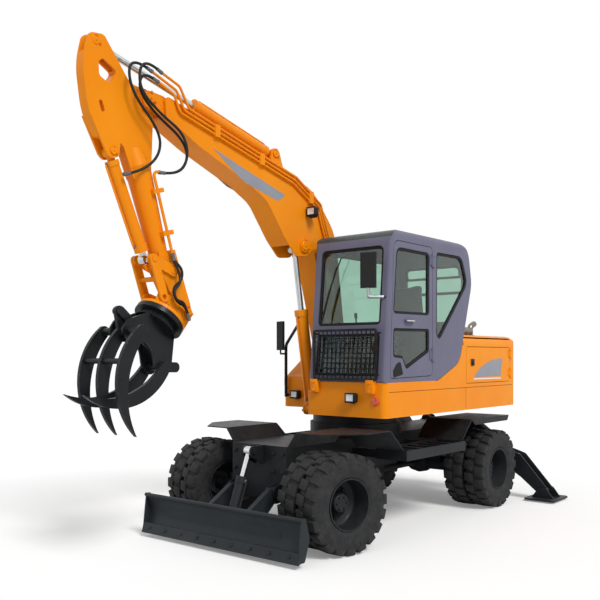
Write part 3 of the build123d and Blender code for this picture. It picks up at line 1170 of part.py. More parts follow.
def jaw(places, horn_places, horn_t):
    body = Part()
    for y in places:
        body = joined(body, side_plate(tine_outline(), y - TINE_T / 2, y + TINE_T / 2))
    for y in horn_places:
        body = joined(body, side_plate(horn_outline(), y - horn_t / 2, y + horn_t / 2))
    down, out = JAW_PIVOT
    reach = max(places) + TINE_T / 2
    body = joined(body, bar((out, -reach, -down), (out, reach, -down), JAW_TUBE_R))
    return joined(body, bar((205, -reach, -660), (205, reach, -660), 22))


def jaw_front():
    body = jaw(FRONT_TINES, (0,), TINE_T)
    up, far = JAW_HORN
    return body - bar((far, -100, -up), (far, 100, -up), 20 + PIN_CLEAR)


def jaw_rear():
    body = jaw(REAR_TINES, (-57, 57), 14)
    return Rot(0, 0, 180) * body


def jaw_ram():
    """Cylinder between the horns: its fork on the front jaw's horn, its eye at the rear jaw's."""
    up, far = JAW_HORN
    length = 2 * far
    fork = []
    for side in (-1, 1):
        y = side * (TINE_T / 2 + 5)
        cheek = outline([(-34, -34, 32), (140, -34, 0), (140, 34, 0), (-34, 34, 32)])
        fork.append(side_plate(cheek, y, y + side * 16))
    barrel = joined(*fork, bar((0, -TINE_T / 2 - 21, 0), (0, TINE_T / 2 + 21, 0), 20),
                    bar((135, 0, 0), (430, 0, 0), 44))
    barrel = barrel - bar((150, 0, 0), (431, 0, 0), 22 + ROD_CLEAR)
    rod = joined(bar((372, 0, 0), (length, 0, 0), 22), bar((length, -44, 0), (length, 44, 0), 34))
    rod = rod - bar((length, -60, 0), (length, 60, 0), 20)
    seat = Pos(far, 0, -up) * Rot(0, 0, 180)
    return GRAPPLE * seat * barrel, GRAPPLE * seat * rod


# Cylinders: base pin, rod eye, barrel length, barrel r, rod r, half eye, eye r, pin r, rod inside
RAMS = {
    "boom": (BOOM_CYL_FOOT, BOOM_CYL_EYE, 1010, 62, 29, 46, 58, 30, 330),
    "arm": (ARM_CYL_BASE, ARM_TAIL, 1020, 52, 26, 24, 46, 28, 180),
    "tilt": (TILT_CYL_BASE, ROCKER_EYE, 800, 50, 26, 34, 42, 24, 560),
    "blade": (BLADE_CYL_LOW, BLADE_CYL_TOP, 430, 48, 25, 34, 40, 24, 160),
    "outrigger": (LEG_CYL_BASE, LEG_CYL_EYE, 440, 46, 24, 50, 40, 24, 140),
}


def build():
    """Every piece by name, in the machine's frame."""
    parts = {
        "chassis_frame": chassis_frame(), "mudguards": mudguards_and_steps(),
        "front_axle": front_axle(), "rear_axle": rear_axle(),
        "knuckle_left": steering_knuckle(1), "knuckle_right": steering_knuckle(-1),
        "dozer_blade": dozer_blade(),
        "outrigger_left": outrigger_leg(1), "outrigger_right": outrigger_leg(-1),
    }
    for corner, x, side, angle in (("front_left", FRONT_X, 1, STEER_REST),
                                   ("front_right", FRONT_X, -1, STEER_REST),
                                   ("rear_left", REAR_X, 1, 0), ("rear_right", REAR_X, -1, 0)):
        parts["tyres_" + corner], parts["rims_" + corner] = wheel(x, side, angle)
    for name in ("boom", "arm", "tilt", "blade"):
        row = RAMS[name]
        y = 0 if name == "blade" else BOOM_Y
        barrel, rod = ram(*row)
        parts[name + "_cylinder_barrel"] = placed_side(barrel, row[0], row[1], y)
        parts[name + "_cylinder_rod"] = placed_side(rod, row[0], row[1], y)
    row = RAMS["outrigger"]
    for name, piece in zip(("barrel", "rod"), ram(*row)):
        left = placed_front(piece, row[0], row[1], LEG_X)
        parts["outrigger_" + name + "_left"] = left
        parts["outrigger_" + name + "_right"] = mirrored(left)
    shell = cab_shell()
    lid = block(-1200, 1200, 0, 1200, ROOF_Z, 3000)
    parts.update({
        "house_frame": house_frame(), "engine_hood": engine_hood(), "service_door": service_door(),
        "counterweight": counterweight(), "right_box": right_box(), "engine_block": engine_block(),
        "exhaust": exhaust(), "cab_frame": shell - lid, "cab_roof": shell & lid, "cab_glass": cab_glass(),
        "cab_door": cab_door(), "door_glass": door_glass(), "cab_seat": cab_seat(),
        "front_guard": front_guard(), "handrail": handrail(), "mirrors": mirrors(),
        "work_lamps": work_lamps(),
        "boom": boom_box(), "boom_pipes": boom_pipes(), "boom_lamp": boom_lamp(),
        "arm": arm_body(), "arm_pipes": arm_pipes(), "hoses": hoses(),
        "rocker": rocker(), "tilt_link": tilt_link(),
        "grapple_bracket": GRAPPLE * grapple_bracket(), "grapple_head": GRAPPLE * grapple_head(),
        "jaw_front": GRAPPLE * jaw_front(), "jaw_rear": GRAPPLE * jaw_rear(),
    })
    parts["jaw_cylinder_barrel"], parts["jaw_cylinder_rod"] = jaw_ram()
    return parts


def origin(parts):
    """Middle of the whole machine's bottom."""
    boxes = [shape.bounding_box() for shape in parts.values()]
    x = (min(b.min.X for b in boxes) + max(b.max.X for b in boxes)) / 2
    y = (min(b.min.Y for b in boxes) + max(b.max.Y for b in boxes)) / 2
    return Vector(x, y, min(b.min.Z for b in boxes))


def main():
    os.makedirs("parts", exist_ok=True)
    parts = build()
    shift = origin(parts)
    for name, shape in parts.items():
        export_step(Pos(-shift.X, -shift.Y, -shift.Z) * shape, os.path.join("parts", name + ".step"))


if __name__ == "__main__":
    main()
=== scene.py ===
import bpy
from math import pi, radians
from mathutils import Matrix, Vector


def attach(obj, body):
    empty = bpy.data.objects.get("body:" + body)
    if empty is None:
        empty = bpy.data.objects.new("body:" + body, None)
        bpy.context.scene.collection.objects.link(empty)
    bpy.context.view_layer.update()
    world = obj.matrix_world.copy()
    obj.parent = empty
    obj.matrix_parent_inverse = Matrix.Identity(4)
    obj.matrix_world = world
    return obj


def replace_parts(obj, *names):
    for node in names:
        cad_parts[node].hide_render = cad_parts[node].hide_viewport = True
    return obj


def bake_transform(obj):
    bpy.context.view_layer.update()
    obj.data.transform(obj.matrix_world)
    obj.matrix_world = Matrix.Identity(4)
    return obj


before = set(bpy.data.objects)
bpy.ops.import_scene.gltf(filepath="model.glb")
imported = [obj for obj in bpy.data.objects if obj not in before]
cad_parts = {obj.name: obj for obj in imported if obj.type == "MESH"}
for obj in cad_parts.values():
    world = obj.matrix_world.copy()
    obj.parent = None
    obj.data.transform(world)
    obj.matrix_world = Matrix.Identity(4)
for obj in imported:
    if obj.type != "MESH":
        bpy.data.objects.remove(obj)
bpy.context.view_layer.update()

# Studio: a wide pale floor, soft daylight from above and from the loader's front left, and a level
# camera off that corner, its frame raised so that uprights stay upright.
scene = bpy.context.scene
scene.view_settings.view_transform = "Standard"


def linear(hex_colour):
    """An sRGB hex colour as linear RGBA."""
    values = [int(hex_colour[i:i + 2], 16) / 255 for i in (1, 3, 5)]
    return [v / 12.92 if v <= 0.04045 else ((v + 0.055) / 1.055) ** 2.4 for v in values] + [1.0]


def add(tree, kind, sockets=None, **settings):
    """One node with its settings, its socket values and its links."""
    made = tree.nodes.new(kind)
    for name, value in settings.items():
        setattr(made, name, value)
    for name, value in (sockets or {}).items():
        if isinstance(value, bpy.types.NodeSocket):
            tree.links.new(value, made.inputs[name])
        else:
            made.inputs[name].default_value = value
    return made


def finish(name, **sockets):
    """A new material with its shader's own values set; gives the material, its tree and its shader."""
    material = bpy.data.materials.new(name)
    material.use_nodes = True
    shader = material.node_tree.nodes["Principled BSDF"]
    for socket, value in sockets.items():
        shader.inputs[socket.replace("_", " ")].default_value = value
    return material, material.node_tree, shader


def tinted(tree, shader, amount, colour, other):
    """The base colour goes from one colour to the other with the amount."""
    mix = add(tree, "ShaderNodeMix", {0: amount, 6: linear(colour), 7: linear(other)}, data_type="RGBA")
    tree.links.new(mix.outputs[2], shader.inputs["Base Color"])


swing_axis_x, tread_sink = 0.544278, 0.0008485


def row(x, y, z):
    """Millimetres from the swing axis at floor level, as metres in the part's frame."""
    return Vector((x / 1000 - swing_axis_x, y / 1000, z / 1000 - tread_sink))


camera = bpy.data.objects.new("camera", bpy.data.cameras.new("camera"))
scene.collection.objects.link(camera)
camera.location = row(6800, 4823, 1675)
camera.rotation_euler = (radians(90), 0, radians(90 + 39.4))
camera.data.lens = 47.1
camera.data.sensor_width = 36
camera.data.shift_y = 0.0933
scene.camera = camera

for name, turn, strength, angle in (("daylight", (46, 0, 160), 2.15, 20), ("sky_fill", (55, 0, 70), 0.3, 60)):
    lamp = bpy.data.lights.new(name, "SUN")
    lamp.energy = strength
    lamp.angle = radians(angle)
    sun = bpy.data.objects.new(name, lamp)
    sun.rotation_euler = [radians(t) for t in turn]
    scene.collection.objects.link(sun)

world = bpy.data.worlds.new("studio")
scene.world = world
world.use_nodes = True
tree = world.node_tree
tree.nodes.clear()
path = add(tree, "ShaderNodeLightPath")
clear = add(tree, "ShaderNodeMath",
            {0: path.outputs["Is Camera Ray"], 1: path.outputs["Is Transmission Ray"]},
            operation="ADD", use_clamp=True)
seen = add(tree, "ShaderNodeMath", {0: clear.outputs[0], 1: path.outputs["Is Glossy Ray"]}, operation="ADD",
           use_clamp=True)
light = add(tree, "ShaderNodeBackground", {"Color": linear("#EEF1F4"), "Strength": 0.42})
white = add(tree, "ShaderNodeBackground", {"Color": (1, 1, 1, 1), "Strength": 1.0})
both = add(tree, "ShaderNodeMixShader", {0: seen.outputs[0], 1: light.outputs[0], 2: white.outputs[0]})
add(tree, "ShaderNodeOutputWorld", {"Surface": both.outputs[0]})

bpy.ops.object.select_all(action="DESELECT")
bpy.ops.mesh.primitive_plane_add(size=90, location=(0, 0, 0))
floor = bpy.context.object
floor.name = "studio_floor"
pale, tree, shader = finish("matt_pale_floor", Roughness=0.9, Specular_IOR_Level=0.1)
spot = add(tree, "ShaderNodeTexNoise", {"Scale": 0.4, "Detail": 2.0})
tinted(tree, shader, spot.outputs[0], "#F4F4F2", "#F8F8F7")
# seen from the camera the floor is as white as the backdrop, and keeps the shadow
shader.inputs["Emission Color"].default_value = (1, 1, 1, 1)
path = add(tree, "ShaderNodeLightPath")
lift = add(tree, "ShaderNodeMath", {0: path.outputs["Is Camera Ray"], 1: 0.2}, operation="MULTIPLY")
tree.links.new(lift.outputs[0], shader.inputs["Emission Strength"])
floor.data.materials.append(pale)


# Tyres: eight 8.25-16 cross-ply tyres of black rubber, moulded with deep blocks that run over the
# shoulders. Dry soil stays in the grooves and greys the sidewalls.
def roughened(tree, shader, amount, low, high, start=0.0, end=1.0):
    """The roughness goes from low to high while the amount goes from start to end."""
    matt = add(tree, "ShaderNodeMapRange", {0: amount, 1: start, 2: end, 3: low, 4: high})
    tree.links.new(matt.outputs[0], shader.inputs["Roughness"])


def bumped(tree, shader, height, strength, distance):
    """The surface stands up with the height, by as much as the distance in metres."""
    bump = add(tree, "ShaderNodeBump", {"Height": height, "Strength": strength, "Distance": distance})
    tree.links.new(bump.outputs[0], shader.inputs["Normal"])


def enamel(name, colour, faded, bare, soil="#8C8170", gloss=0.34, chips=0.55, dust=0.22):
    """Brushed or sprayed enamel on plate: faded in patches, dusty on top, worn through along the edges."""
    material, tree, shader = finish(name, Specular_IOR_Level=0.16, Coat_Weight=0.04, Coat_Roughness=0.12)
    place = add(tree, "ShaderNodeTexCoord").outputs["Object"]
    # patches of 600 mm, dirt clouds of 90 mm, orange peel of 5 mm (drawn coarser than the real 2 mm to show)
    patch = add(tree, "ShaderNodeTexNoise", {"Vector": place, "Scale": 1 / 0.6, "Detail": 3.0})
    cloud = add(tree, "ShaderNodeTexNoise", {"Vector": place, "Scale": 1 / 0.09, "Detail": 7.0,
                                             "Roughness": 0.65})
    peel = add(tree, "ShaderNodeTexNoise", {"Vector": place, "Scale": 1 / 0.005, "Detail": 2.0})
    fade = add(tree, "ShaderNodeMapRange", {0: patch.outputs[0], 1: 0.38, 2: 0.68})
    tint = add(tree, "ShaderNodeMix", {0: fade.outputs[0], 6: linear(colour), 7: linear(faded)},
               data_type="RGBA")
    surface = add(tree, "ShaderNodeNewGeometry")
    upward = add(tree, "ShaderNodeSeparateXYZ", {0: surface.outputs["Normal"]})
    lies = add(tree, "ShaderNodeMapRange", {0: upward.outputs[2], 1: -0.2, 2: 1.0, 3: 0.15, 4: 1.0})
    clouds = add(tree, "ShaderNodeMapRange", {0: cloud.outputs[0], 1: 0.42, 2: 0.72, 4: dust})
    settled = add(tree, "ShaderNodeMath", {0: lies.outputs[0], 1: clouds.outputs[0]}, operation="MULTIPLY")
    dusty = add(tree, "ShaderNodeMix", {0: settled.outputs[0], 6: tint.outputs[2], 7: linear(soil)},
                data_type="RGBA")
    # an edge shows where the rounded normal leaves the flat one; chips of about 12 mm follow it
    round_off = add(tree, "ShaderNodeBevel", {"Radius": 0.006}, samples=4)
    along = add(tree, "ShaderNodeVectorMath", {0: round_off.outputs[0], 1: surface.outputs["Normal"]},
                operation="DOT_PRODUCT")
    edge = add(tree, "ShaderNodeMapRange", {0: along.outputs["Value"], 1: 0.985, 2: 0.86})
    chip = add(tree, "ShaderNodeTexNoise", {"Vector": place, "Scale": 1 / 0.012, "Detail": 6.0,
                                            "Roughness": 0.7})
    broken = add(tree, "ShaderNodeMapRange", {0: chip.outputs[0], 1: 0.54, 2: 0.62, 4: chips})
    worn = add(tree, "ShaderNodeMath", {0: edge.outputs[0], 1: broken.outputs[0]}, operation="MULTIPLY")
    whole = add(tree, "ShaderNodeMix", {0: worn.outputs[0], 6: dusty.outputs[2], 7: linear(bare)},
                data_type="RGBA")
    tree.links.new(whole.outputs[2], shader.inputs["Base Color"])
    roughened(tree, shader, cloud.outputs[0], gloss, gloss + 0.22, 0.3, 0.75)
    bumped(tree, shader, peel.outputs[0], 0.05, 0.002)
    return material


def rubber(name, colour, soil, soiled=0.55, grain=0.004, gloss=0.62):
    """Moulded black rubber: matt, greyed by dust in clouds of 60 mm, with a fine moulded grain."""
    material, tree, shader = finish(name, Specular_IOR_Level=0.35)
    place = add(tree, "ShaderNodeTexCoord").outputs["Object"]
    cloud = add(tree, "ShaderNodeTexNoise", {"Vector": place, "Scale": 1 / 0.06, "Detail": 8.0,
                                             "Roughness": 0.6})
    grains = add(tree, "ShaderNodeTexNoise", {"Vector": place, "Scale": 1 / grain, "Detail": 3.0})
    amount = add(tree, "ShaderNodeMapRange", {0: cloud.outputs[0], 1: 0.4, 2: 0.75, 4: soiled})
    tinted(tree, shader, amount.outputs[0], colour, soil)
    roughened(tree, shader, cloud.outputs[0], gloss, 0.95)
    bumped(tree, shader, grains.outputs[0], 0.2, 0.001)
    return material


def alone(*pieces):
    """Only these are selected, and the first of them is active."""
    bpy.ops.object.select_all(action="DESELECT")
    for piece in pieces:
        piece.select_set(True)
    bpy.context.view_layer.objects.active = pieces[0]


def joined(name, *pieces):
    """These pieces as one."""
    alone(*pieces)
    if len(pieces) > 1:
        bpy.ops.object.join()
    pieces[0].name = pieces[0].data.name = name
    return pieces[0]


def turned(name, profile, steps, axis="Y"):
    """A turned shape: the profile (radius, along), drawn point by point, then spun about the axis."""
    bpy.ops.object.select_all(action="DESELECT")
    bpy.ops.mesh.primitive_plane_add(size=0.001)
    piece = bpy.context.object
    piece.name = piece.data.name = name
    bpy.ops.object.mode_set(mode="EDIT")
    bpy.ops.mesh.select_mode(type="VERT")
    bpy.ops.mesh.select_all(action="SELECT")
    bpy.ops.mesh.merge(type="CENTER")
    r, a = profile[0]
    bpy.ops.transform.translate(value=(r, a, 0) if axis == "Y" else (r, 0, a))
    for (r0, a0), (r1, a1) in zip(profile, profile[1:]):
        step = (r1 - r0, a1 - a0, 0) if axis == "Y" else (r1 - r0, 0, a1 - a0)
        bpy.ops.mesh.extrude_region_move(TRANSFORM_OT_translate={"value": step})
    bpy.ops.mesh.select_all(action="SELECT")
    bpy.ops.mesh.spin(steps=steps, angle=2 * pi, center=(0, 0, 0), axis=(0, 1, 0) if axis == "Y" else (0, 0,
            1))
    bpy.ops.mesh.select_all(action="SELECT")
    bpy.ops.mesh.remove_doubles(threshold=0.00002)
    bpy.ops.mesh.normals_make_consistent(inside=False)
    bpy.ops.object.mode_set(mode="OBJECT")
    return piece


def gathered(name, master, places):
    """One piece made of copies of the master at these places, each with its own mesh; the master goes."""
    copies = []
    for place in places:
        copy = master.copy()
        copy.data = master.data.copy()
        copy.data.transform(place)
        scene.collection.objects.link(copy)
        copies.append(copy)
    bpy.data.objects.remove(master)
    return joined(name, *copies)


def fitted(piece, body, material, smooth=35):
    """The piece gets its finish, smooth shading up to that angle, and rides on its body."""
    piece.data.materials.clear()
    piece.data.materials.append(material)
    alone(piece)
    bpy.ops.object.shade_smooth_by_angle(angle=radians(smooth))
    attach(piece, body)
    return piece


def block(name, size, bevel=0.002, segments=2):
    """A block about the origin with softened edges."""
    bpy.ops.object.select_all(action="DESELECT")
    bpy.ops.mesh.primitive_cube_add(size=1)
    piece = bpy.context.object
    piece.name = piece.data.name = name
    piece.data.transform(Matrix.Diagonal((*size, 1)))
    bpy.ops.object.mode_set(mode="EDIT")
    bpy.ops.mesh.select_all(action="SELECT")
    bpy.ops.mesh.bevel(offset=bevel, segments=segments, affect="EDGES")
    bpy.ops.object.mode_set(mode="OBJECT")
    return piece


tyre_black = rubber("tyre_rubber_dusty", "#1C1D1F", "#4C4A46", 0.4)
tyre_radius, rim_radius, lugs = 0.4275, 0.222, 20
corners = {
    "front_left": (1360, 1), "front_right": (1360, -1), "rear_left": (-1320, 1), "rear_right": (-1320, -1),
}
hub_z, kingpin_y, twin_y, twin_pitch, steer_rest = 430, 450, 780, 250, radians(-12)


def wheel_place(corner):
    """Where the middle of a twin wheel stands, its outer side along +Y of the wheel."""
    x, side = corners[corner]
    face = Matrix.Rotation(0 if side > 0 else pi, 4, "Z")
    if x > 0:
        kingpin = Matrix.Translation(row(x, side * kingpin_y, hub_z)) @ Matrix.Rotation(steer_rest, 4, "Z")
        return kingpin @ Matrix.Translation((0, side * (twin_y - kingpin_y) / 1000, 0)) @ face
    return Matrix.Translation(row(x, side * twin_y, hub_z)) @ face


for corner in corners:
    carcass = turned("carcass", [
        (rim_radius + 0.002, -0.088), (rim_radius + 0.012, -0.098), (0.262, -0.107), (0.312, -0.113),
        (0.357, -0.111), (0.39, -0.103), (0.405, -0.084), (0.409, -0.03), (0.409, 0.03), (0.405, 0.084),
        (0.39, 0.103), (0.357, 0.111), (0.312, 0.113), (0.262, 0.107), (rim_radius + 0.012, 0.098),
        (rim_radius + 0.002, 0.088),
    ], 60)
    lug = block("lug", (0.092, 0.1, 0.05), 0.006, 2)
    # the block narrows to its crown and leans down over the shoulder
    for v in lug.data.vertices:
        v.co.x *= 1 - 1.6 * max(v.co.z, 0)
        v.co.x += 0.16 * v.co.y
        if v.co.y > 0.02:
            v.co.z -= (v.co.y - 0.02) * 0.22
    spokes = []
    for i in range(lugs):
        for side in (0, 1):
            turn = Matrix.Rotation(2 * pi * (i + 0.5 * side) / lugs, 4, "Y")
            spokes.append(turn @ Matrix.Rotation(pi * side, 4, "Z"))
    crown = Matrix.Translation((0, 0.06, tyre_radius - 0.0255))
    crowns = gathered("crowns", lug, [spoke @ crown for spoke in spokes])
    # short ribs on the shoulder below each block
    rib = block("rib", (0.034, 0.012, 0.06), 0.004, 1)
    shoulder = Matrix.Translation((0.012, 0.104, 0.365)) @ Matrix.Rotation(radians(14), 4, "X")
    ribs = gathered("ribs", rib, [spoke @ shoulder for spoke in spokes])
    carcass = joined("carcass", carcass, crowns, ribs)
    stand = wheel_place(corner)
    pair = [stand @ Matrix.Translation((0, s * twin_pitch / 2000, 0)) for s in (-1, 1)]
    tyre = fitted(gathered("tyre_pair_" + corner, carcass, pair), "wheel_" + corner, tyre_black,
                  40)
    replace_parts(tyre, "tyres_" + corner)

# Rims: pressed steel discs and flanged rings in dark grey paint, with eight nuts round a hub and six
# small bolts in its cap, painted over.
rim_grey = enamel("rim_enamel_dark_grey", "#232528", "#2B2D31", "#6F6A63", soil="#57524A", gloss=0.4,
                  chips=0.4, dust=0.3)
nut_steel = enamel("zinc_plated_nuts", "#6E6F70", "#58595A", "#8A7A68", gloss=0.35, chips=0.2, dust=0.4)


def hex_nut(name, across, height):
    """A hexagon nut or bolt head about the origin, chamfered, standing on its washer along +Z."""
    rim, lift = across * 0.72, height * 0.16
    washer = turned("washer", [(0.0, 0.0), (rim, 0.0), (rim, lift), (0.0, lift)], 14, "Z")
    bpy.ops.object.select_all(action="DESELECT")
    bpy.ops.mesh.primitive_cylinder_add(vertices=6, radius=across * 0.577, depth=height,
                                        location=(0, 0, height * 0.66))
    head = bpy.context.object
    bpy.ops.object.transform_apply(location=True)
    bpy.ops.object.mode_set(mode="EDIT")
    bpy.ops.mesh.select_all(action="SELECT")
    bpy.ops.mesh.bevel(offset=height * 0.12, segments=1, affect="EDGES")
    bpy.ops.object.mode_set(mode="OBJECT")
    return joined(name, head, washer)


for corner in corners:
    stand = wheel_place(corner)
    outward = Matrix.Rotation(radians(-90), 4, "X")
    nuts = []
    for i in range(8):
        turn = Matrix.Rotation(2 * pi * i / 8, 4, "Y")
        nuts.append(stand @ turn @ Matrix.Translation((0, 0.0135, 0.13)) @ outward)
    for i in range(6):
        turn = Matrix.Rotation(2 * pi * (i + 0.5) / 6, 4, "Y")
        nuts.append(stand @ turn @ Matrix.Translation((0, 0.1175, 0.055)) @ outward @ Matrix.Scale(0.55, 4))
    fitted(gathered("wheel_nuts_" + corner, hex_nut("nut", 0.032, 0.022), nuts), "wheel_" + corner, rim_grey,
           30)

for node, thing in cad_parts.items():
    if node.startswith("rims_"):
        thing.data.materials.clear()
        thing.data.materials.append(rim_grey)

# Chassis: welded box frame, axles, mudguards and open step trays in black enamel over steel plate, dusty and
# rubbed bare along the edges. The bolts are painted over.
def seat(node, start, towards):
    """A place on a node's surface, met from start: its Z along the surface's normal."""
    hit, spot, normal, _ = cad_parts[node].ray_cast(start, Vector(towards).normalized())
    if not hit:
        raise ValueError("nothing of " + node + " lies that way")
    return Matrix.Translation(spot) @ normal.to_track_quat("Z", "Y").to_matrix().to_4x4()


def coat(material, *nodes):
    """These nodes take this finish."""
    for node in nodes:
        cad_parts[node].data.materials.clear()
        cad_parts[node].data.materials.append(material)


chassis_black = enamel("chassis_enamel_black", "#1B1D20", "#232529", "#5A544C", soil="#4A4742", gloss=0.38,
                       chips=0.4, dust=0.3)
coat(chassis_black, "chassis_frame", "mudguards", "front_axle", "rear_axle", "knuckle_left", "knuckle_right",
     "outrigger_left", "outrigger_right", "outrigger_barrel_left", "outrigger_barrel_right",
     "blade_cylinder_barrel")
plate_bolts = []
for y in (-290, -180, 180, 290):
    for z in (470, 640, 800):
        plate_bolts.append(seat("chassis_frame", row(2400, y, z), (-1, 0, 0)))
fitted(gathered("front_plate_bolts", hex_nut("bolt", 0.03, 0.018), plate_bolts), "chassis", chassis_black,
       30)

# Rods: hard chrome on ground steel, bright, clouded by a thin film of oil and by fine scratches.
chrome, tree, shader = finish("hard_chrome_rod", Metallic=1.0)
place = add(tree, "ShaderNodeTexCoord").outputs["Object"]
scratch = add(tree, "ShaderNodeTexNoise", {"Vector": place, "Scale": 1 / 0.01, "Detail": 6.0,
                                           "Roughness": 0.7})
film = add(tree, "ShaderNodeTexNoise", {"Vector": place, "Scale": 1 / 0.15, "Detail": 3.0})
tinted(tree, shader, film.outputs[0], "#E4E6E8", "#B9BCBE")
roughened(tree, shader, scratch.outputs[0], 0.08, 0.26, 0.35, 0.75)
coat(chrome, "boom_cylinder_rod", "arm_cylinder_rod", "tilt_cylinder_rod", "blade_cylinder_rod",
     "outrigger_rod_left", "outrigger_rod_right", "jaw_cylinder_rod")

# Blade: a rolled sheet with end plates and a bolted cutting edge, in dark blue grey enamel, scoured along
# its foot by the ground.
blade_grey = enamel("blade_enamel_blue_grey", "#22282B", "#2A3033", "#77706A", soil="#5A5650", gloss=0.32,
                    chips=0.5, dust=0.22)
coat(blade_grey, "dozer_blade")
edge_bolts = [seat("dozer_blade", row(2600, y, 92), (-1, 0, 0)) for y in range(-840, 841, 210)]
fitted(gathered("cutting_edge_bolts", hex_nut("bolt", 0.024, 0.012), edge_bolts), "blade", blade_grey,
       30)

# House: deck, engine hood, service door, counterweight and right hand boxes in bright orange enamel over
# pressed steel; the counterweight is an iron casting in the same paint.
orange = enamel("house_enamel_orange", "#F08A02", "#F39208", "#9A5320", soil="#C98A48", gloss=0.3, chips=0.22,
                dust=0.1)
coat(orange, "house_frame", "engine_hood", "service_door", "counterweight", "right_box", "boom",
     "boom_pipes", "arm", "arm_pipes", "rocker", "tilt_link", "grapple_bracket", "boom_cylinder_barrel",
     "arm_cylinder_barrel", "tilt_cylinder_barrel")
left_side = 950
boom_middle, boom_half = -140, 120


def meshed(name, curve):
    """A drawn curve as a mesh."""
    drawn = bpy.data.objects.new(name, curve)
    scene.collection.objects.link(drawn)
    alone(drawn)
    bpy.ops.object.convert(target="MESH")
    return bpy.context.object


def decal(name, outline, plane, lift, body, material):
    """A thin film cut to an outline: drawn flat, filled, and laid on a side (y fixed), lift in mm off it."""
    curve = bpy.data.curves.new(name, "CURVE")
    curve.dimensions = "2D"
    curve.fill_mode = "BOTH"
    curve.extrude = 0.0003
    spline = curve.splines.new("POLY")
    spline.points.add(len(outline) - 1)
    for point, (x, z) in zip(spline.points, outline):
        point.co = (x / 1000, z / 1000, 0, 1)
    spline.use_cyclic_u = True
    film = meshed(name, curve)
    # drawn in X and Y, so it is stood up: Y becomes Z
    stand = Matrix.Rotation(radians(90), 4, "X")
    film.data.transform(Matrix.Translation(row(0, plane + lift, 0)) @ stand)
    bpy.ops.object.mode_set(mode="EDIT")
    bpy.ops.mesh.select_all(action="SELECT")
    bpy.ops.mesh.normals_make_consistent(inside=False)
    bpy.ops.object.mode_set(mode="OBJECT")
    return fitted(film, body, material)


film_grey = enamel("vinyl_film_grey", "#8C8C98", "#969AA0", "#7A6A58", gloss=0.4, chips=0.1, dust=0.1)
film_white = enamel("vinyl_film_white", "#E9E6E0", "#DEDAD2", "#B9A58C", gloss=0.4, chips=0.1, dust=0.1)
sweep = [(-833, 1450), (-900, 1500), (-1000, 1556), (-1120, 1598), (-1254, 1628), (-1400, 1645),
         (-1530, 1648), (-1500, 1560), (-1480, 1450)]
decal("door_sweep", sweep, left_side, 0.8, "service_door", film_grey)
decal("door_line", [(-826, 1424), (-826, 1438), (-1490, 1434), (-1490, 1420)], left_side, 0.8,
      "service_door", film_white)
band = [(2078, 3456), (1960, 3424), (1800, 3380), (1667, 3343), (1480, 3296), (1129, 3204),
        (1170, 3166), (1230, 3132), (1350, 3156), (1500, 3190), (1667, 3227), (1800, 3290), (1960, 3384)]
decal("boom_band_left", band, boom_middle + boom_half, 0.8, "boom", film_grey)
decal("boom_band_right", band, boom_middle - boom_half, -0.8, "boom", film_grey)

# Engine and exhaust: a plain iron block under the hood, and a tarnished steel muffler with a short elbow
# on top of it.
engine_iron = enamel("engine_enamel_grey", "#3C3F42", "#33363A", "#5A5048", gloss=0.5, chips=0.4, dust=0.4)
coat(engine_iron, "engine_block")
tail_steel, tree, shader = finish("tarnished_steel_tube", Metallic=1.0)
place = add(tree, "ShaderNodeTexCoord").outputs["Object"]
tarnish = add(tree, "ShaderNodeTexNoise", {"Vector": place, "Scale": 1 / 0.05, "Detail": 5.0})
tinted(tree, shader, tarnish.outputs[0], "#8F8C86", "#6E6557")
roughened(tree, shader, tarnish.outputs[0], 0.18, 0.45)
coat(tail_steel, "exhaust")

# Cab: pressed steel pillars and panels in lavender grey enamel, with green tinted safety glass held in
# black rubber seals.
cab_grey = enamel("cab_enamel_lavender_grey", "#67667A", "#6D6D81", "#55525C", gloss=0.36, chips=0.15,
                  dust=0.1)
coat(cab_grey, "cab_frame", "cab_roof", "cab_door")
glass, tree, shader = finish("green_tinted_safety_glass", IOR=1.5, Transmission_Weight=1.0)
place = add(tree, "ShaderNodeTexCoord").outputs["Object"]
haze = add(tree, "ShaderNodeTexNoise", {"Vector": place, "Scale": 1 / 0.2, "Detail": 6.0, "Roughness": 0.6})
tinted(tree, shader, haze.outputs[0], "#B4D3C4", "#C2DCD0")
# a film of dust, a little duller in clouds
roughened(tree, shader, haze.outputs[0], 0.0, 0.05, 0.3, 0.8)
coat(glass, "cab_glass", "door_glass")


def skin_of(node, name):
    """A loose copy of a node's mesh, to be cut down to a thin piece that lies on it."""
    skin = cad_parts[node].copy()
    skin.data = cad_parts[node].data.copy()
    skin.parent = None
    for key in list(skin.keys()):
        del skin[key]
    skin.name = skin.data.name = name
    scene.collection.objects.link(skin)
    alone(skin)
    return skin


def thickened(piece, thickness, offset):
    """The active sheet gets this thickness, outward for an offset of 1 and inward for -1."""
    wall = piece.modifiers.new("wall", "SOLIDIFY")
    wall.thickness = thickness
    wall.offset = offset
    bpy.ops.object.modifier_apply(modifier="wall")


def picked(piece, wanted):
    """Goes into edit mode with only the wanted faces selected."""
    bpy.ops.object.mode_set(mode="EDIT")
    bpy.ops.mesh.select_mode(type="FACE")
    bpy.ops.mesh.select_all(action="DESELECT")
    bpy.ops.object.mode_set(mode="OBJECT")
    for face in piece.data.polygons:
        face.select = wanted(face)
    bpy.ops.object.mode_set(mode="EDIT")


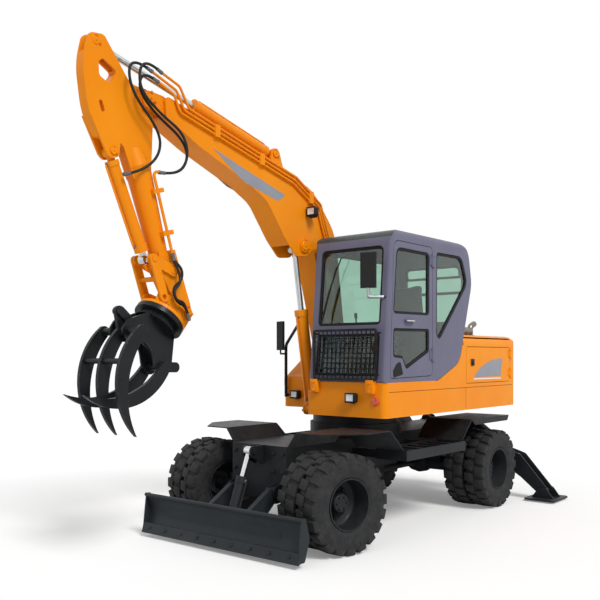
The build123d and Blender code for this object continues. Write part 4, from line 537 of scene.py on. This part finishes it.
seal_black = rubber("window_seal_rubber", "#101113", "#3A3833", 0.25, 0.003)
seal_width, seal_height = 0.026, 0.009
for node, body in (("cab_glass", "house"), ("door_glass", "cab_door")):
    seal = skin_of(node, node.replace("glass", "window_seals"))
    bpy.ops.object.mode_set(mode="EDIT")
    bpy.ops.mesh.select_all(action="SELECT")
    bpy.ops.mesh.remove_doubles(threshold=0.00005)
    bpy.ops.mesh.dissolve_limited(angle_limit=radians(2))
    picked(seal, lambda face: face.area <= 0.05)
    bpy.ops.mesh.delete(type="ONLY_FACE")
    bpy.ops.mesh.select_all(action="SELECT")
    bpy.ops.mesh.inset(thickness=seal_width, use_individual=True, use_even_offset=True)
    bpy.ops.mesh.delete(type="ONLY_FACE")
    bpy.ops.mesh.select_all(action="SELECT")
    bpy.ops.mesh.delete_loose()
    bpy.ops.object.mode_set(mode="OBJECT")
    thickened(seal, seal_height, 1.0)
    fitted(seal, body, seal_black)

# Black fittings of the house: wire guard, handrail and lamp bodies in powder coat, and the mirrors' moulded
# shells.
powder_black = enamel("black_powder_coat", "#141517", "#1E1F22", "#5C564E", gloss=0.45, chips=0.35, dust=0.25)
coat(powder_black, "front_guard", "handrail", "work_lamps", "boom_lamp", "cab_seat")
coat(seal_black, "mirrors")

# Lamps: square work lamps, each with a ribbed lens in a black bezel on its moulded body.
lens_glass, tree, shader = finish("moulded_lamp_lens", Roughness=0.08, IOR=1.5, Coat_Weight=0.6)
place = add(tree, "ShaderNodeTexCoord").outputs["Object"]
# the moulded ribs stand 9 mm apart; the lens's colour runs from pale grey to near white across each rib,
# painted glints on the ribs
ribs = add(tree, "ShaderNodeTexWave", {"Vector": place, "Scale": 1 / 0.009 / 6.283, "Distortion": 0.0},
           bands_direction="Y")
tinted(tree, shader, ribs.outputs["Fac"], "#C9D2D8", "#F1F4F5")
bumped(tree, shader, ribs.outputs["Fac"], 0.5, 0.002)
for name, body, x, y, z in (("lens_deck_left", "house", 940, 600, 1290),
                            ("lens_deck_right", "house", 130, -740, 1250),
                            ("lens_boom", "boom", 820, 50, 3085)):
    lens = block(name, (0.008, 0.086, 0.07), 0.003, 2)
    picked(lens, lambda face: face.normal.x > 0.9)
    bpy.ops.mesh.inset(thickness=0.008, depth=0.003)
    bpy.ops.object.mode_set(mode="OBJECT")
    lens.data.transform(Matrix.Translation(row(x + 2, y, z)))
    fitted(lens, body, lens_glass)
    bezel = block(name.replace("lens", "bezel"), (0.012, 0.112, 0.092), 0.004, 2)
    picked(bezel, lambda face: abs(face.normal.x) > 0.9)
    bpy.ops.mesh.inset(thickness=0.014)
    bpy.ops.mesh.delete(type="FACE")
    bpy.ops.object.mode_set(mode="OBJECT")
    thickened(bezel, 0.003, -1.0)
    bezel.data.transform(Matrix.Translation(row(x, y, z)))
    fitted(bezel, body, powder_black)

# Reflector and cab feet: a round red reflector and two brackets of the cab's rubber mounts on the front of
# the deck, each held by two bolts and painted over.
reflector_red, tree, shader = finish("moulded_red_reflector", Roughness=0.12, Coat_Weight=0.8)
place = add(tree, "ShaderNodeTexCoord").outputs["Object"]
prism = add(tree, "ShaderNodeTexVoronoi", {"Vector": place, "Scale": 1 / 0.006})
tinted(tree, shader, prism.outputs["Distance"], "#C2280F", "#E8501C")
cup = turned("deck_reflector", [(0.0, 0.0), (0.04, 0.0), (0.04, 0.012), (0.034, 0.018), (0.028, 0.019),
                                (0.0, 0.022)], 32, "Z")
cup.data.transform(seat("house_frame", row(1500, 845, 1262), (-1, 0, 0)))
fitted(cup, "house", reflector_red)
feet = []
foot = block("foot", (0.09, 0.13, 0.05), 0.008, 2)
for y in (160, 800):
    feet.append(seat("house_frame", row(1500, y, 1392), (-1, 0, 0)) @ Matrix.Translation((0, 0, 0.02)))
fitted(gathered("cab_feet", foot, feet), "house", orange)
foot_bolts = [place @ Matrix.Translation((0.0, s * 0.04, 0.024)) for place in feet for s in (-1, 1)]
fitted(gathered("cab_foot_bolts", hex_nut("bolt", 0.024, 0.014), foot_bolts), "house", orange,
       30)

# Cab fittings: wiper arm and blade on the windscreen, a lock beside the door handle, the black pocket in the
# door's lower corner and the mirror glass.
wiper = bpy.data.curves.new("wiper", "CURVE")
wiper.dimensions = "3D"
wiper.bevel_depth = 0.006
screen_lean, screen_foot, screen_off = 0.0848, 1432, 52
for line in ([(872, 420, 2600), (876, 300, 2300), (880, 240, 2060)], [(874, 370, 2520), (884, 235, 1985)]):
    spline = wiper.splines.new("POLY")
    spline.points.add(len(line) - 1)
    for point, (x, y, z) in zip(spline.points, line):
        point.co = (*row(x - (z - screen_foot) * screen_lean + screen_off, y, z), 1)
fitted(meshed("wiper", wiper), "house", powder_black)
pocket = [(622, 1612), (585, 1512), (600, 1500), (742, 1478), (752, 1492), (756, 1540), (700, 1600),
          (650, 1620)]
decal("door_pocket", pocket, left_side, 1.0, "cab_door", seal_black)
lock = turned("door_lock", [(0.0, 0.0), (0.017, 0.0), (0.017, 0.006), (0.013, 0.009), (0.005, 0.009),
                            (0.005, 0.007), (0.0, 0.007)], 24, "Z")
lock.data.transform(seat("cab_door", row(420, 1300, 1998), (0, -1, 0)))
fitted(lock, "cab_door", nut_steel)
mirror_glass, tree, shader = finish("silvered_mirror_glass", Metallic=1.0)
place = add(tree, "ShaderNodeTexCoord").outputs["Object"]
smear = add(tree, "ShaderNodeTexNoise", {"Vector": place, "Scale": 1 / 0.08, "Detail": 4.0})
roughened(tree, shader, smear.outputs[0], 0.02, 0.12)
tinted(tree, shader, smear.outputs[0], "#DDE3E6", "#C9D0D4")
for name, x, y, z, turn in (("mirror_left", 930, 800, 2450, 20), ("mirror_right", 180, -895, 1900, -20)):
    pane = block(name, (0.004, 0.126, 0.29), 0.0015, 1)
    picked(pane, lambda face: face.normal.x < -0.9)
    bpy.ops.mesh.inset(thickness=0.006, depth=0.001)
    bpy.ops.object.mode_set(mode="OBJECT")
    shell = Matrix.Translation(row(x, y, z)) @ Matrix.Rotation(radians(turn), 4, "Z")
    pane.data.transform(shell @ Matrix.Translation((-0.0155, 0, 0)))
    fitted(pane, "house", mirror_glass)

# Roof strip, mirror arm and door handle: a dark grey green strip along the roof's front edge, the mirror's
# bent arm wound with crinkled foil, and a chromed handle.
strip = skin_of("cab_roof", "roof_strip")
brow = row(0, 0, 2745).z
picked(strip, lambda face: not (face.normal.x > 0.12 and face.normal.z > 0.12 and face.center.z > brow))
bpy.ops.mesh.delete(type="FACE")
bpy.ops.mesh.select_all(action="SELECT")
bpy.ops.mesh.remove_doubles(threshold=0.00005)
bpy.ops.object.mode_set(mode="OBJECT")
thickened(strip, 0.002, 1.0)
roof_green = enamel("roof_strip_grey_green", "#3F4A4A", "#485353", "#6A6A66", gloss=0.2, chips=0.1, dust=0.12)
fitted(strip, "house", roof_green)


def pipe(name, points, r, body, material, bend=0.03):
    """A bent pipe along these points (mm), rounded at each corner."""
    places = [row(*point) for point in points]
    way = [places[0]]
    for before, corner, after in zip(places, places[1:], places[2:]):
        way += [corner + (before - corner).normalized() * bend, corner,
                corner + (after - corner).normalized() * bend]
    way.append(places[-1])
    curve = bpy.data.curves.new(name, "CURVE")
    curve.dimensions = "3D"
    curve.bevel_depth = r
    curve.bevel_resolution = 3
    curve.use_fill_caps = True
    spline = curve.splines.new("NURBS")
    spline.points.add(len(way) - 1)
    for point, place in zip(spline.points, way):
        point.co = (*place, 1)
    spline.order_u = 3
    spline.use_endpoint_u = True
    return fitted(meshed(name, curve), body, material, 50)


foil, tree, shader = finish("crinkled_silver_foil", Metallic=0.9, Roughness=0.32)
place = add(tree, "ShaderNodeTexCoord").outputs["Object"]
# folds about 12 mm apart; the foil's colour is darker along them, painted shade in the creases
folds_and_crease_shade = add(tree, "ShaderNodeTexVoronoi", {"Vector": place, "Scale": 1 / 0.012}, feature="DISTANCE_TO_EDGE")
tinted(tree, shader, folds_and_crease_shade.outputs["Distance"], "#9A9C9E", "#DADCDD")
bumped(tree, shader, folds_and_crease_shade.outputs["Distance"], 0.8, 0.004)
pipe("mirror_arm_foil", [(930, 800, 2290), (930, 800, 2210), (840, 906, 2210)], 0.0155, "house", foil)
pipe("door_handle", [(560, 968, 2002), (560, 986, 2002), (440, 986, 2002), (440, 968, 2002)], 0.008,
     "cab_door", chrome, 0.008)

# Seams and latch of the house: dark sealant in the long seam above the deck, a black moulded door latch.
decal("deck_seam", [(822, 1343), (822, 1347), (-1778, 1347), (-1778, 1343)], left_side, 0.6, "house",
      seal_black)
decal("deck_upright_seam", [(-652, 1130), (-648, 1130), (-648, 1343), (-652, 1343)], left_side, 0.6, "house",
      seal_black)
latch = block("service_latch", (0.072, 0.008, 0.072), 0.003, 2)
latch.data.transform(Matrix.Translation(row(-793, 958, 1608)))
fitted(latch, "service_door", powder_black)
paddle = block("service_latch_paddle", (0.044, 0.006, 0.034), 0.002, 2)
paddle.data.transform(Matrix.Translation(row(-793, 963, 1600)))
fitted(paddle, "service_door", seal_black)

# Pipes on the cylinders: each barrel has a thin steel pipe clipped along it from its port to the gland,
# ending in plated fittings.
for name, body, base, way, out, reach, first, last, y, material, slot in (
    ("tilt", "tilt_barrel", (3075, 3240), (-0.404, -0.915), (0.915, 0, -0.404), 66, 90, 740, boom_middle,
     orange, "house_orange"),
    ("boom", "boom_barrel", (567, 1140), (0.173, 0.985), (0.985, 0, -0.173), 78, 110, 950, boom_middle,
     orange, "house_orange"),
    ("arm", "arm_barrel", (1210, 3585), (0.975, 0.2226), (-0.2226, 0, 0.975), 68, 110, 960, boom_middle,
     orange, "house_orange"),
    ("blade", "blade_barrel", (1895, 200), (-0.371, 0.928), (0, 1, 0), 64, 80, 395, 0, chassis_black,
     "chassis_black"),
):
    ends = []
    for run, off in ((first, reach - 22), (first, reach), (last, reach), (last, reach - 22)):
        ends.append((base[0] + way[0] * run + out[0] * off, y + out[1] * off,
                     base[1] + way[1] * run + out[2] * off))
    pipe(name + "_cylinder_pipe", ends, 0.008, body, material, 0.02)
    ports = []
    for spot in (ends[0], ends[3]):
        turn = Vector(out).to_track_quat("Z", "Y").to_matrix().to_4x4()
        ports.append(Matrix.Translation(row(*spot)) @ turn @ Matrix.Translation((0, 0, -0.008)))
    fitted(gathered(name + "_cylinder_ports", hex_nut("port", 0.03, 0.022), ports), body, nut_steel, 30)

# Seat: a suspension seat with sewn dark blue cloth over foam, on a black pedestal between two consoles
# with joysticks. The covers are drawn tight over the foam and crown in the middle.
seat_cloth, tree, shader = finish("woven_seat_cloth", Roughness=0.95, Sheen_Weight=0.35, Sheen_Roughness=0.5)
place = add(tree, "ShaderNodeTexCoord").outputs["Object"]
# threads 4 mm apart, drawn coarser than the real 1 mm so that they show
weave = add(tree, "ShaderNodeTexWave", {"Vector": place, "Scale": 1 / 0.004 / 6.283, "Distortion": 0.6},
            bands_direction="DIAGONAL")
fuzz = add(tree, "ShaderNodeTexNoise", {"Vector": place, "Scale": 1 / 0.03, "Detail": 5.0})
tinted(tree, shader, fuzz.outputs[0], "#131C2A", "#22303F")
bumped(tree, shader, weave.outputs["Fac"], 0.4, 0.001)


def stuffed(name, size, place, cap=0.02):
    """A foam pad under a sewn cover: inflated a little by simulation, with two sewn channels along it."""
    pad = block(name, size, 0.03, 4)
    pad.data.remesh_voxel_size = 0.006
    bpy.ops.object.voxel_remesh()
    before = [v.co.copy() for v in pad.data.vertices]
    cloth = pad.modifiers.new("cover", "CLOTH")
    cloth.settings.use_pressure = True
    cloth.settings.uniform_pressure_force = 4.0
    cloth.settings.effector_weights.gravity = 0.0
    cloth.point_cache.frame_start, cloth.point_cache.frame_end = 1, 20
    for step in range(1, 21):
        scene.frame_set(step)
    bpy.ops.object.modifier_apply(modifier="cover")
    scene.frame_set(1)
    for v, old in zip(pad.data.vertices, before):
        moved = v.co - old
        if moved.length > cap:
            v.co = old + moved * (cap / moved.length)
        for line in (-0.13, 0.13):
            groove = max(0.0, 1 - abs(v.co.y - line) / 0.014)
            v.co.z -= 0.009 * groove * groove * (1 if v.co.z > 0 else 0)
    smooth = pad.modifiers.new("smooth", "SUBSURF")
    smooth.levels = smooth.render_levels = 1
    bpy.ops.object.modifier_apply(modifier="smooth")
    pad.data.transform(place)
    fitted(pad, "house", seat_cloth, 60)
    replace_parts(pad, "cab_seat")


stuffed("seat_cushion", (0.44, 0.42, 0.085),
        Matrix.Translation(row(55, 510, 1800)) @ Matrix.Rotation(radians(-3), 4, "Y"))
stuffed("seat_backrest", (0.54, 0.4, 0.085),
        Matrix.Translation(row(-195, 510, 2130)) @ Matrix.Rotation(radians(-79), 4, "Y"))
pedestal = block("seat_pedestal", (0.25, 0.36, 0.27), 0.02, 3)
for v in pedestal.data.vertices:
    v.co.x *= 1 - 0.6 * max(0, v.co.z)
pedestal.data.transform(Matrix.Translation(row(135, 510, 1613)))
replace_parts(fitted(pedestal, "house", seal_black), "cab_seat")
for side, y in (("left", 825), ("right", 195)):
    console = block("console_" + side, (0.3, 0.11, 0.46), 0.025, 3)
    for v in console.data.vertices:
        v.co.z += 0.12 * v.co.x * (1 if v.co.z > 0 else 0)
    console.data.transform(Matrix.Translation(row(170, y, 1712)))
    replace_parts(fitted(console, "house", seal_black), "cab_seat")
    stick = turned("joystick_" + side, [
        (0.0, 0.0), (0.034, 0.0), (0.03, 0.012), (0.031, 0.02), (0.025, 0.03), (0.026, 0.038), (0.018, 0.05),
        (0.008, 0.06), (0.008, 0.1), (0.015, 0.112), (0.017, 0.14), (0.014, 0.162), (0.0, 0.168),
    ], 20, "Z")
    stick.data.transform(Matrix.Translation(row(255, y, 1948)) @ Matrix.Rotation(radians(6), 4, "Y"))
    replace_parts(fitted(stick, "house", seal_black, 50), "cab_seat")

# Grapple: flame cut plates welded into a turning head and two jaws, in black enamel that the cane and the
# ground have rubbed bare on the edges; the pale bare edges are laid on thickly, partly real wear and partly
# a painted sheen along the jaws' edges.
grapple_black = enamel("grapple_enamel_black", "#15171A", "#1F2225", "#857E76", soil="#5A564F", gloss=0.26,
                       chips=0.8, dust=0.14)
coat(grapple_black, "grapple_head", "jaw_front", "jaw_rear", "jaw_cylinder_barrel")

# Pins: each hinge pin ends in a turned steel cap with a keeper bar and its two bolts, painted over with the
# piece that carries it.
def pin_end(name):
    """The end of a pin of 40 mm radius with its keeper, standing on the origin along +Z."""
    cap = turned("cap", [(0.0, 0.0), (0.046, 0.0), (0.046, 0.005), (0.042, 0.009), (0.014, 0.009),
                         (0.013, 0.013), (0.006, 0.013), (0.005, 0.022), (0.0, 0.024)], 28, "Z")
    bar = block("bar", (0.028, 0.12, 0.01), 0.003, 2)
    bar.data.transform(Matrix.Translation((0.034, 0, 0.006)))
    heads = gathered("heads", hex_nut("bolt", 0.018, 0.01),
                     [Matrix.Translation((0.034, s * 0.046, 0.0105)) for s in (-1, 1)])
    return joined(name, cap, bar, heads)


# each: where it is carried, its finish, and its pins as (node, x, z, radius in mm)
for body, material, slot, pins in (
    ("house", orange, "house_orange", [("house_frame", 200, 1450, 38), ("house_frame", 567, 1140, 30)]),
    ("boom", orange, "house_orange", [("boom", 850, 2750, 40), ("boom", 2747, 3715, 34),
                                      ("boom", 1210, 3585, 28)]),
    ("arm", orange, "house_orange", [("arm", 3225, 4045, 28), ("arm", 3075, 3240, 24)]),
    ("rocker", orange, "house_orange", [("rocker", 2500, 2372, 24)]),
    ("bracket", orange, "house_orange", [("grapple_bracket", 2354, 2040, 30)]),
):
    places = []
    for node, x, z, r in pins:
        for side in (1, -1):
            spot = seat(node, row(x, boom_middle + side * 900, z), (0, -side, 0))
            places.append(spot @ Matrix.Rotation(radians(30), 4, "Z") @ Matrix.Scale(r / 40, 4))
    fitted(gathered("pin_ends_" + body, pin_end("pin_end"), places), body, material, 35)

# Hoses: wire braid hydraulic hose with a black rubber cover, 22 mm across, crimped into zinc plated ends.
# Three hang in loops over the arm's joint and two go down to the grapple.
hose_across = 0.022
hose_black = rubber("hydraulic_hose_rubber", "#121315", "#3B3B3B", 0.3, 0.003, 0.42)


def hose(name, route, bodies):
    """A hose drawn along its route (mm), with a ferrule at each end that rides on its two bodies, first and
    last.
    """
    curve = bpy.data.curves.new(name, "CURVE")
    curve.dimensions = "3D"
    spline = curve.splines.new("NURBS")
    spline.points.add(len(route) - 1)
    for point, place in zip(spline.points, route):
        point.co = (*row(*place), 1)
    spline.order_u = 3
    spline.use_endpoint_u = True
    curve.resolution_u = 12
    line = bpy.data.objects.new(name, curve)
    scene.collection.objects.link(line)
    bpy.context.view_layer.update()
    traced = bpy.data.meshes.new_from_object(line.evaluated_get(bpy.context.evaluated_depsgraph_get()))
    path = [v.co.copy() for v in traced.vertices]
    bpy.data.meshes.remove(traced)
    curve.bevel_depth = hose_across / 2
    curve.bevel_resolution = 4
    curve.use_fill_caps = True
    alone(line)
    bpy.ops.object.convert(target="MESH")
    tube = bpy.context.object
    tube.data.materials.clear()
    tube.data.materials.append(hose_black)
    bpy.ops.object.shade_smooth_by_angle(angle=radians(50))
    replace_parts(tube, "hoses")
    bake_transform(tube)
    for body, at, onward, which in ((bodies[0], path[0], path[1], "first"),
                                    (bodies[1], path[-1], path[-2], "last")):
        sleeve = turned(name + "_ferrule_" + which, [
            (0.0, -0.022), (0.013, -0.022), (0.0165, -0.019), (0.0165, 0.0), (0.013, 0.002), (0.0145, 0.004),
            (0.0145, 0.014), (0.0135, 0.015), (0.0145, 0.017), (0.0145, 0.028), (0.0135, 0.029),
            (0.0145, 0.031), (0.0145, 0.042), (0.0, 0.044),
        ], 12, "Z")
        turn = (onward - at).to_track_quat("Z", "Y").to_matrix().to_4x4()
        sleeve.data.transform(Matrix.Translation(at) @ turn)
        fitted(sleeve, body, nut_steel, 30)


hose("hose_tilt", [
    (2776, -2, 3919), (2985, -2, 3986), (2990, 4, 3720), (2695, 14, 3460), (2690, 12, 3270), (2840, -24,
            3120),
    (2985, -46, 3075),
], ("boom", "arm"))
hose("hose_grab_outer", [
    (2676, -2, 3937), (2880, 26, 3999), (2935, 36, 3745), (2720, 40, 3590), (2470, 40, 3490), (2405, 36,
            3310),
    (2470, -10, 3152), (2657, -24, 3142),
], ("boom", "arm"))
hose("hose_grab_inner", [
    (2713, -2, 3854), (2850, -4, 3900), (2905, 2, 3740), (2740, 4, 3590), (2450, 8, 3450), (2380, 4, 3300),
    (2460, -42, 3160), (2628, -54, 3151),
], ("boom", "arm"))
hose("hose_low_inner", [
    (2500, -54, 2499), (2486, -54, 2456), (2425, -20, 2388), (2440, -14, 2290), (2545, -10, 2230),
    (2500, -10, 2110), (2390, -10, 2085), (2372, -10, 1990),
], ("arm", "bracket"))
hose("hose_low_outer", [
    (2529, -24, 2490), (2515, -24, 2447), (2470, -4, 2350), (2478, 18, 2270), (2560, 20, 2200),
    (2530, 20, 2125), (2430, 20, 2115), (2395, 20, 1985),
], ("arm", "bracket"))
